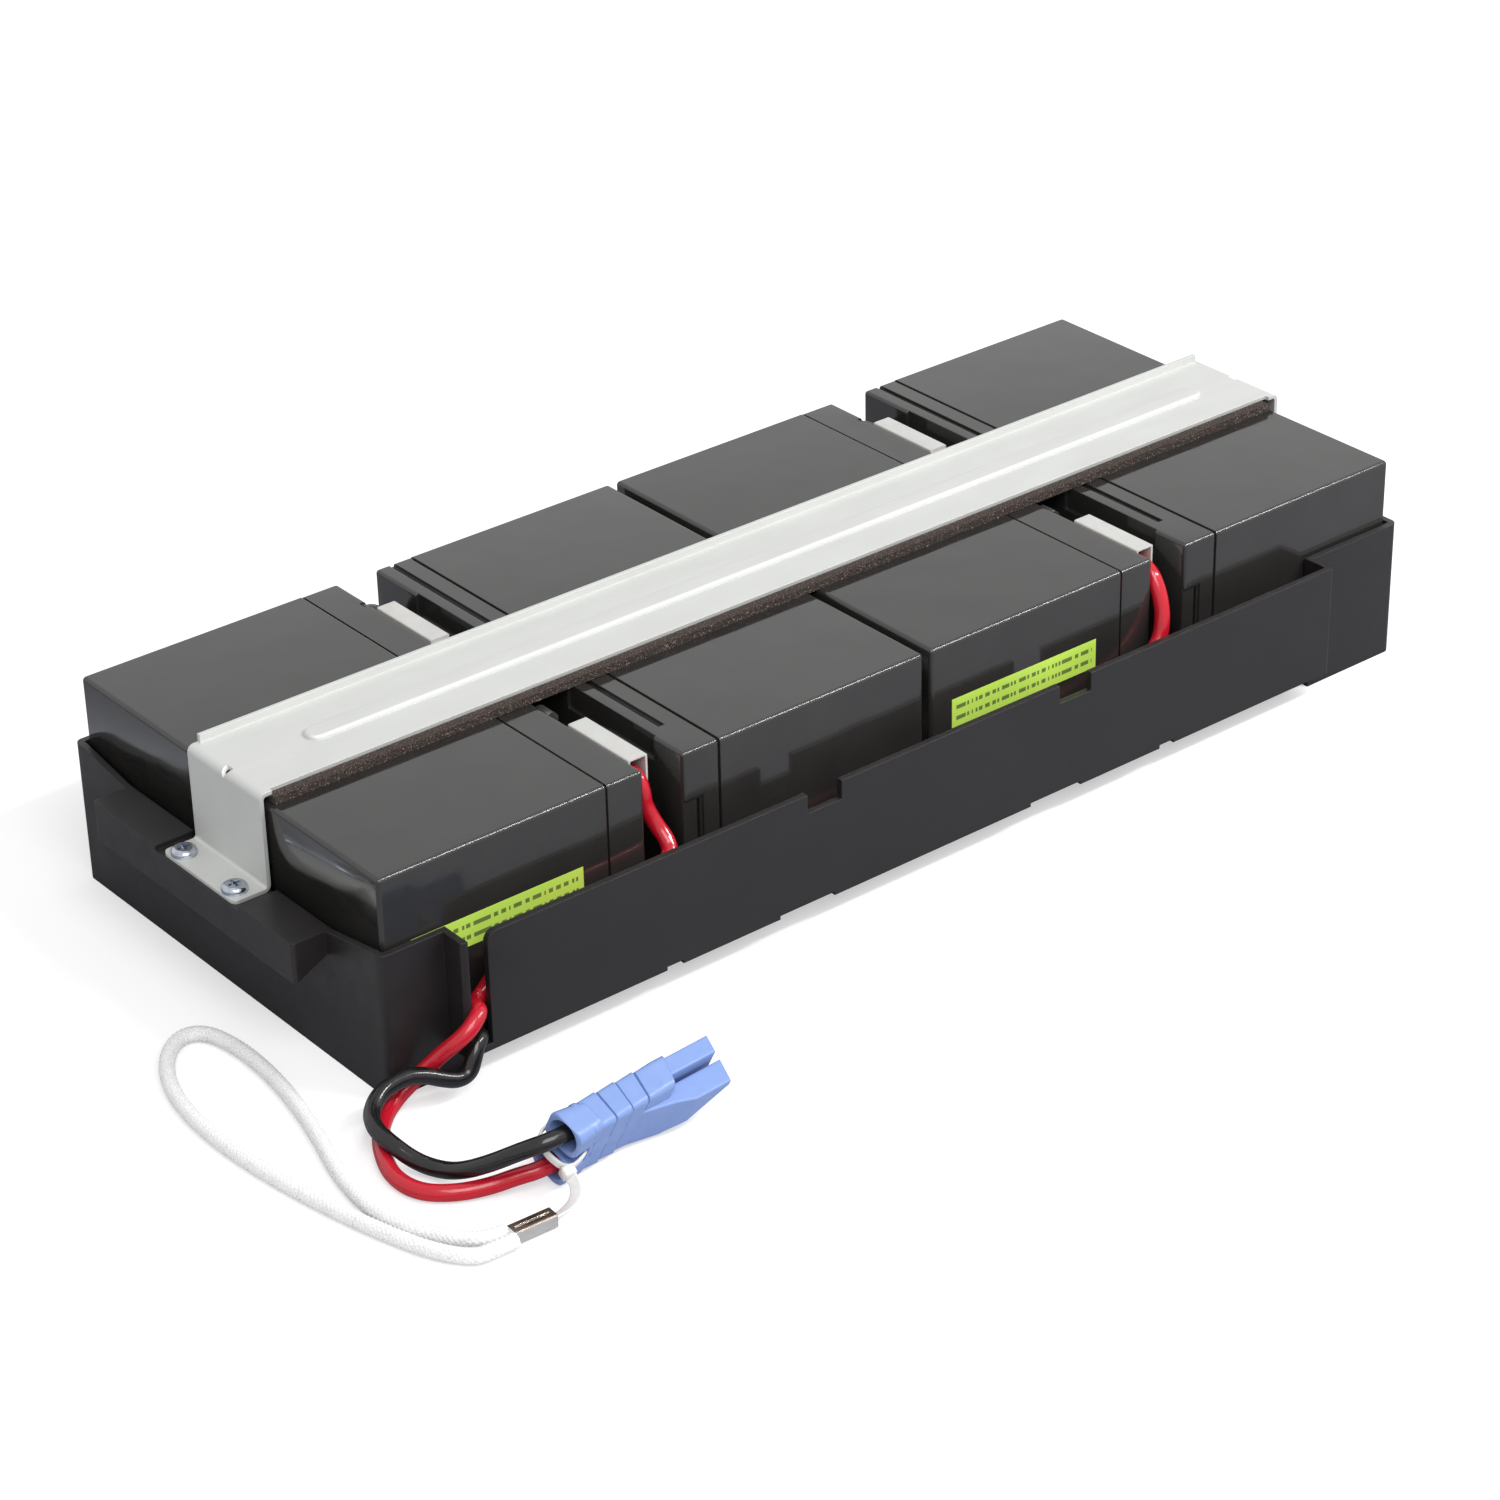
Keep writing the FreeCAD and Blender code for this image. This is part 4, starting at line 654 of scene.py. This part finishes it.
def band(points, wide, half_w, half_t):
    """A flat band along a smooth line: wide is the direction of its width, and half_w and half_t are
    half its width and thickness in millimetres. Its outline is a circle whose cosine and sine are
    raised to the power BAND_ROUND, so a block with soft corners. Corners and faces."""
    line = smooth_line("band_line", points)
    centres, _ = read_line(line, BAND_STEP * MM)
    bpy.data.objects.remove(line)
    tangents = unit(np.gradient(centres, axis=0))
    flat = unit(np.cross(tangents, wide))
    side = np.cross(flat, tangents)
    turn = np.linspace(0, 2 * math.pi, BAND_SIDES, endpoint=False)
    u = np.sign(np.cos(turn)) * np.abs(np.cos(turn)) ** BAND_ROUND * half_w * MM
    v = np.sign(np.sin(turn)) * np.abs(np.sin(turn)) ** BAND_ROUND * half_t * MM
    rings = centres[:, None] + u[None, :, None] * side[:, None] + v[None, :, None] * flat[:, None]
    first, last = (np.repeat(centres[k][None, None], BAND_SIDES, axis=1) for k in (0, -1))
    rings = np.concatenate([first, rings, last])
    return rings.reshape(-1, 3), tube_faces(len(rings), BAND_SIDES)


# Each contact is a straight blade through these places along the plug
across_the_plug = plug_turn @ (0, 0, 1)
BLADE = (8, 26, 44)
BLADE_HALF_W = 2.6
BLADE_HALF_T = 0.7
silver = new_material("contact_silver", (0.8, 0.79, 0.76), 0.28, 1.0)
feed(silver, Roughness=between(silver, mottle(silver, 1.5), 0.22, 0.38, start=0.3, end=0.7))
blades = [band([plug_frame(x, 0, pole) for x in BLADE], across_the_plug, BLADE_HALF_W, BLADE_HALF_T)
          for pole in (-POLE, POLE)]
contacts = mesh_piece("contact_blades", *join(blades), silver)
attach(contacts, "root")
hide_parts("connector_contacts")


# Cable tie
# A white nylon tie: its loop runs round the plug's web between the two lobes, and its tail runs
# from the head down into the ferrule.

# The loop, the head and the tail's start are places on the plug, and the rest is in the bay
TIE_LOOP = [(9.5, 3, 0), (9.5, 6.9, 0.2), (7, 8.2, 0.8), (2.4, 8.4, 1.4), (-2.2, 6.6, 1.6),
            (-3.4, 2.6, 0.8), (-2.6, -1.6, -0.4), (-0.6, -5.2, -1.6), (2, -7, -1.4), (5, -6.6, -0.4),
            (9.2, -5.2, 0), (9.5, -3, 0)]
TIE_HEAD = [(-1.8, -7.2, -2.4), (2.2, -7.6, -2.4)]
TAIL_START = (0.4, -7.8, -3)
TIE_TAIL = [(8.8, -86.2, 8.2), (8.8, -88.2, 5.8), (6.6, -90.4, 4), (2.6, -91.9, 3.2), (-1.4, -92.5, 3),
            (-6, -92.6, 3)]
TAIL_WIDE = (0.6, -0.72, 0.35)

tie_nylon = new_material("tie_nylon", (0.78, 0.78, 0.77), 0.4, Subsurface_Weight=0.2,
                         Subsurface_Scale=1.5 * MM)
feed(tie_nylon,
     Base_Color=blend_colours(tie_nylon, mottle(tie_nylon, 3), (0.64, 0.65, 0.65), (0.78, 0.77, 0.76)),
     Normal=raise_surface(tie_nylon, mottle(tie_nylon, 1.0), 0.03, round_edges(tie_nylon, 0.3)))

tail_route = np.vstack([plug_frame(*TAIL_START), bay(TIE_TAIL)])
tie_parts = [band([plug_frame(*place) for place in TIE_LOOP], across_the_plug, half_w=1.5, half_t=0.5),
             band([plug_frame(*place) for place in TIE_HEAD], across_the_plug, half_w=2.1, half_t=1.9),
             band(tail_route, TAIL_WIDE, half_w=2.1, half_t=0.4)]
tie = mesh_piece("tie_with_tail", *join(tie_parts), tie_nylon)
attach(tie, "root")
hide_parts("cable_tie")


# Ferrule
# A flattened steel sleeve crimped over the cord's two ends and the tie's tail. Its colour is painted by the
# way
# each face points: a painted dark brown shade on its upper faces and a painted bright reflection on its
# sides.
sleeve_steel = new_material("sleeve_steel", (0.55, 0.52, 0.48), 0.3, 1.0)
# Painted light: the colour follows the face's normal, with painted dark brown shade where a face points up
# and a painted bright reflection where it points sideways
facing = add(sleeve_steel, "ShaderNodeSeparateXYZ")
link(sleeve_steel, add(sleeve_steel, "ShaderNodeNewGeometry").outputs["Normal"], facing.inputs[0])
painted_shade_facing_up = between(sleeve_steel, facing.outputs["Z"], 0, 1, start=0.35, end=0.75)
feed(sleeve_steel,
     Base_Color=blend_colours(sleeve_steel, painted_shade_facing_up, (0.84, 0.81, 0.76), (0.2, 0.15, 0.12)),
     Roughness=between(sleeve_steel, mottle(sleeve_steel, 1.5, (0.2, 1, 1)), 0.22, 0.4, start=0.3, end=0.7),
     Normal=raise_surface(sleeve_steel, mottle(sleeve_steel, 2), 0.05, round_edges(sleeve_steel, 0.5)))
dress(sleeve_steel, "ferrule")
soften("ferrule")


# Free leads
# The two output leads from the slot in the channel's panel to the plug: stranded wire in red and
# black vinyl. Each is about 162 mm long and lies in a loop, the black one over the red.
RED_ROUTE = [(SLOT_EXIT_X, CHANNEL_MID_Y, RED_EXIT_Z), (34, CHANNEL_MID_Y, 27.4), (29.4, -7.4, 26.4),
             (26.9, -11, 27.2), (26.3, -14.2, 27.8), (23.4, -16.4, 26.8), (19.4, -17.4, 24.4),
             (15.4, -16.2, 21.2), (12, -12.6, 16.6), (7, -9.2, 10.6), (0.4, -8.3, 6.8), (-6, -9.2, 3.8),
             (-12.8, -13.6, 3), (-19.6, -21, 3), (-25.6, -31.2, 3), (-29.6, -43, 3), (-28, -54.6, 3),
             (-19.8, -62.4, 3), (-9.6, -67, 3.4), (-1.6, -71.4, 6)]
BLACK_ROUTE = [(SLOT_EXIT_X, CHANNEL_MID_Y, 20.5), (34, CHANNEL_MID_Y, 17.6), (29.4, -7.4, 16.8),
               (26.9, -11, 17.2), (26.3, -14.2, 17.6), (23.2, -16.2, 17.2), (20.4, -17.8, 13.4),
               (18.4, -18.2, 9.2), (13.8, -18.2, 8.2), (8.8, -16.9, 10.2), (3.4, -14.4, 12.8),
               (-3, -12.4, 14), (-12.2, -12.2, 12.4), (-19.8, -16.8, 10.2), (-23.8, -24.8, 9.6),
               (-23.6, -33.6, 8.4), (-20.6, -41.8, 4.8), (-16.8, -49, 3.6), (-14.4, -57.8, 6.4),
               (-10, -67.6, 12.4), (-2.4, -77, 19.4)]
# Each lead runs straight into its port from this far outside it
STRAIGHT_IN = -3.0
RED_LENGTH = 0.1636
BLACK_LENGTH = 0.161

for colour, route, pole, length, material in (("red", RED_ROUTE, -POLE, RED_LENGTH, red_vinyl),
                                              ("black", BLACK_ROUTE, POLE, BLACK_LENGTH, black_vinyl)):
    ends = [plug_frame(STRAIGHT_IN, 0, pole), plug_frame(PORT_DEPTH, 0, pole)]
    line = wire(colour + "_output_lead", np.vstack([bay(route), ends]), material)
    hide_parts(colour + "_lead")


# Pull cord
# One loop of white braided polyester, 5.6 mm thick, with both ends side by side in the ferrule.
# Eight strands wind each way and pass over and under each other.
CORD_R = 2.8
FERRULE_START = np.array((-19.6, -91.9, 3.0))
FERRULE_TURN = math.radians(-2.7)
STRAIGHT_OUT = 8.0
CORD_GAP = 0.02
along = np.array((math.cos(FERRULE_TURN), math.sin(FERRULE_TURN), 0))
across = np.array((-along[1], along[0], 0)) * (CORD_R + CORD_GAP)
LOOP = [(-33.4, -81.5, 3), (-39.6, -71.8, 3), (-43.2, -61, 3), (-44.6, -48, 3), (-41.5, -29, 3),
        (-35, -9, 3), (-29.5, 13, 3), (-26.3, 35, 3), (-26.3, 54, 3), (-29.8, 67.5, 3), (-38.5, 70, 3),
        (-48.5, 61.5, 3), (-56, 47, 3), (-60, 28, 3), (-60.5, 5, 3), (-58, -20, 3), (-53.5, -45, 3),
        (-48, -67, 3), (-42, -84, 3), (-34.5, -94, 3)]
cord_route = bay([FERRULE_START + across, FERRULE_START + across - along * STRAIGHT_OUT, *LOOP,
                  FERRULE_START - across - along * STRAIGHT_OUT, FERRULE_START - across])

BRAID_PITCH = 7.0
BRAID_STRANDS = 8
BRAID_DEPTH = 0.5
BRAID_CROWN = 0.45
CORD_STEP = 0.34
CORD_SIDES = 40
CORD_OVER_FLOOR = 0.2
PATTERN_PER_MM = 0.1


def braid(angle, far):
    """Height of a braid from 0 to 1: two families of strands cross, and over and under swap as on a
    chessboard in the two families' own counts. A strand is the square root of a half sine across
    its width, and BRAID_CROWN lower where it dives under its neighbours."""
    turns = BRAID_STRANDS * angle / (2 * math.pi)
    a = turns + far / BRAID_PITCH * BRAID_STRANDS / 2
    b = turns - far / BRAID_PITCH * BRAID_STRANDS / 2
    a_in, b_in = a % 1, b % 1
    over = (np.floor(a) + np.floor(b)) % 2 == 0
    top = np.where(over, np.sin(math.pi * a_in), np.sin(math.pi * b_in))
    crown = np.where(over, np.sin(math.pi * b_in), np.sin(math.pi * a_in))
    return np.sqrt(top) * (1 - BRAID_CROWN + BRAID_CROWN * crown)


line = smooth_line("pull_cord_line", cord_route)
centres, cord_length = read_line(line, CORD_STEP * MM)
bpy.data.objects.remove(line)
tangents = unit(np.gradient(centres, axis=0))
sideways = unit(np.cross(tangents, (0, 0, 1)))
upwards = np.cross(sideways, tangents)
far = np.arange(len(centres))[:, None] * CORD_STEP
angle = np.linspace(0, 2 * math.pi, CORD_SIDES, endpoint=False)[None, :]
radius = (CORD_R - BRAID_DEPTH * (1 - braid(angle, far))) * MM
skin = (centres[:, None] + radius[..., None] * (np.cos(angle)[..., None] * sideways[:, None]
                                               + np.sin(angle)[..., None] * upwards[:, None]))
skin[:, :, 2] = np.maximum(skin[:, :, 2], CORD_OVER_FLOOR * MM)
cord_uv = np.stack(np.broadcast_arrays(angle / (2 * math.pi), far * PATTERN_PER_MM), axis=-1)

cord_yarn = new_material("cord_yarn", (0.8, 0.8, 0.8), 0.8, Sheen_Weight=0.2)
yarn_tone = between(cord_yarn, mottle(cord_yarn, 0.45, detail=2.0), 0, 1, start=0.35, end=0.65)
feed(cord_yarn,
     Base_Color=blend_colours(cord_yarn, yarn_tone, (0.66, 0.66, 0.67), (0.88, 0.88, 0.88)),
     Normal=raise_surface(cord_yarn, mottle(cord_yarn, 0.3, detail=2.0), 0.05))
pull_cord = mesh_piece("braided_pull_cord", skin, tube_faces(len(centres), CORD_SIDES), cord_yarn,
                       cord_uv.reshape(-1, 2))
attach(pull_cord, "root")
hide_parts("pull_cord")


# Studio
# A plain white floor in white air, a large soft light above and in front, a narrow one along the
# rows, and the photograph's camera.
def seen_by(owner, *kinds):
    """1 for a ray of any of these kinds, and 0 for all others."""
    rays = add(owner, "ShaderNodeLightPath")
    seen = rays.outputs["Is %s Ray" % kinds[0]]
    for kind in kinds[1:]:
        either = add(owner, "ShaderNodeMath", operation="MAXIMUM")
        link(owner, seen, either.inputs[0])
        link(owner, rays.outputs["Is %s Ray" % kind], either.inputs[1])
        seen = either.outputs[0]
    return seen


def either_shader(owner, choice, zero, one):
    """The shader zero or one, by a choice that is 0 or 1."""
    mix = add(owner, "ShaderNodeMixShader")
    for source, target in ((choice, mix.inputs["Fac"]), (zero, mix.inputs[1]), (one, mix.inputs[2])):
        link(owner, source, target)
    return mix.outputs[0]


# The floor lights the part as a white one does, shows dim in the gloss of the plastic, and glows a
# little for the camera, so that the shadow on it stays soft
floor_white = bpy.data.materials.new("studio_floor")
floor_white.use_nodes = True
floor_white.node_tree.nodes.clear()
plain = add(floor_white, "ShaderNodeBsdfDiffuse", Color=(0.8, 0.8, 0.8, 1))
dim = add(floor_white, "ShaderNodeBsdfDiffuse", Color=(0.35, 0.36, 0.4, 1))
shaded = add(floor_white, "ShaderNodeBsdfDiffuse", Color=(0.56, 0.56, 0.56, 1))
glow = add(floor_white, "ShaderNodeEmission", Color=(1, 1, 1, 1), Strength=0.5)
bright = add(floor_white, "ShaderNodeAddShader")
link(floor_white, shaded.outputs[0], bright.inputs[0])
link(floor_white, glow.outputs[0], bright.inputs[1])
unseen = either_shader(floor_white, seen_by(floor_white, "Glossy"), plain.outputs[0], dim.outputs[0])
surface = either_shader(floor_white, seen_by(floor_white, "Camera", "Transmission"), unseen,
                        bright.outputs[0])
link(floor_white, surface, add(floor_white, "ShaderNodeOutputMaterial").inputs["Surface"])

FLOOR_REACH = 12.0
floor_corners = [(-FLOOR_REACH, -FLOOR_REACH, 0), (FLOOR_REACH, -FLOOR_REACH, 0),
                 (FLOOR_REACH, FLOOR_REACH, 0), (-FLOOR_REACH, FLOOR_REACH, 0)]
floor = mesh_piece("studio_floor", floor_corners, [(0, 1, 2, 3)], floor_white)

# The air is white where it is seen or mirrored, and half as strong as a light
AIR_LIGHT = 0.5
AIR_SEEN = 1.0
air = bpy.data.worlds.new("studio_air")
bpy.context.scene.world = air
air.use_nodes = True
sky = air.node_tree.nodes["Background"]
sky.inputs["Color"].default_value = (1, 1, 1, 1)
level = between(air, seen_by(air, "Camera", "Glossy", "Transmission"), AIR_LIGHT, AIR_SEEN)
link(air, level, sky.inputs["Strength"])


def soft_light(name, place, turn, size, watts):
    """A soft box of size (width, height) at place, turned by turn."""
    lamp = bpy.data.lights.new(name, "AREA")
    lamp.shape = "RECTANGLE"
    lamp.size, lamp.size_y = size
    lamp.energy = watts
    holder = bpy.data.objects.new(name, lamp)
    holder.location = place
    holder.rotation_euler = turn
    bpy.context.scene.collection.objects.link(holder)


KEY_PLACE = (-0.7, -1.5, 1.9)
key_turn = (-Vector(KEY_PLACE)).to_track_quat("-Z", "Y").to_euler()
soft_light("key_light", KEY_PLACE, key_turn, size=(1.5, 1.5), watts=40)
# A long narrow box along the rows, whose reflection makes the bright line on each near top edge
EDGE_PLACE = (1.15, -1.0, 1.4)
EDGE_TILT = math.radians(35.5)
soft_light("edge_light", EDGE_PLACE, (EDGE_TILT, 0, 0), size=(1.6, 0.1), watts=32)

# The camera, solved from the edges of the blocks: its place in the bay, its lens and its three turns
CAMERA_PLACE = (-599.1, -941.9, 756.0)
CAMERA_LENS = 98.27
CAMERA_TURN = math.radians(-38.583)
CAMERA_TILT = math.radians(60.410)
CAMERA_ROLL = math.radians(-1.282)
camera = bpy.data.objects.new("camera", bpy.data.cameras.new("camera"))
camera.data.lens = CAMERA_LENS
camera.data.sensor_width = 36.0
camera.data.clip_start = 0.05
camera.matrix_world = (Matrix.Translation(bay(CAMERA_PLACE)) @ Matrix.Rotation(CAMERA_TURN, 4, "Z")
                       @ Matrix.Rotation(CAMERA_TILT, 4, "X") @ Matrix.Rotation(CAMERA_ROLL, 4, "Z"))
bpy.context.scene.collection.objects.link(camera)
bpy.context.scene.camera = camera
bpy.context.scene.view_settings.view_transform = "Standard"
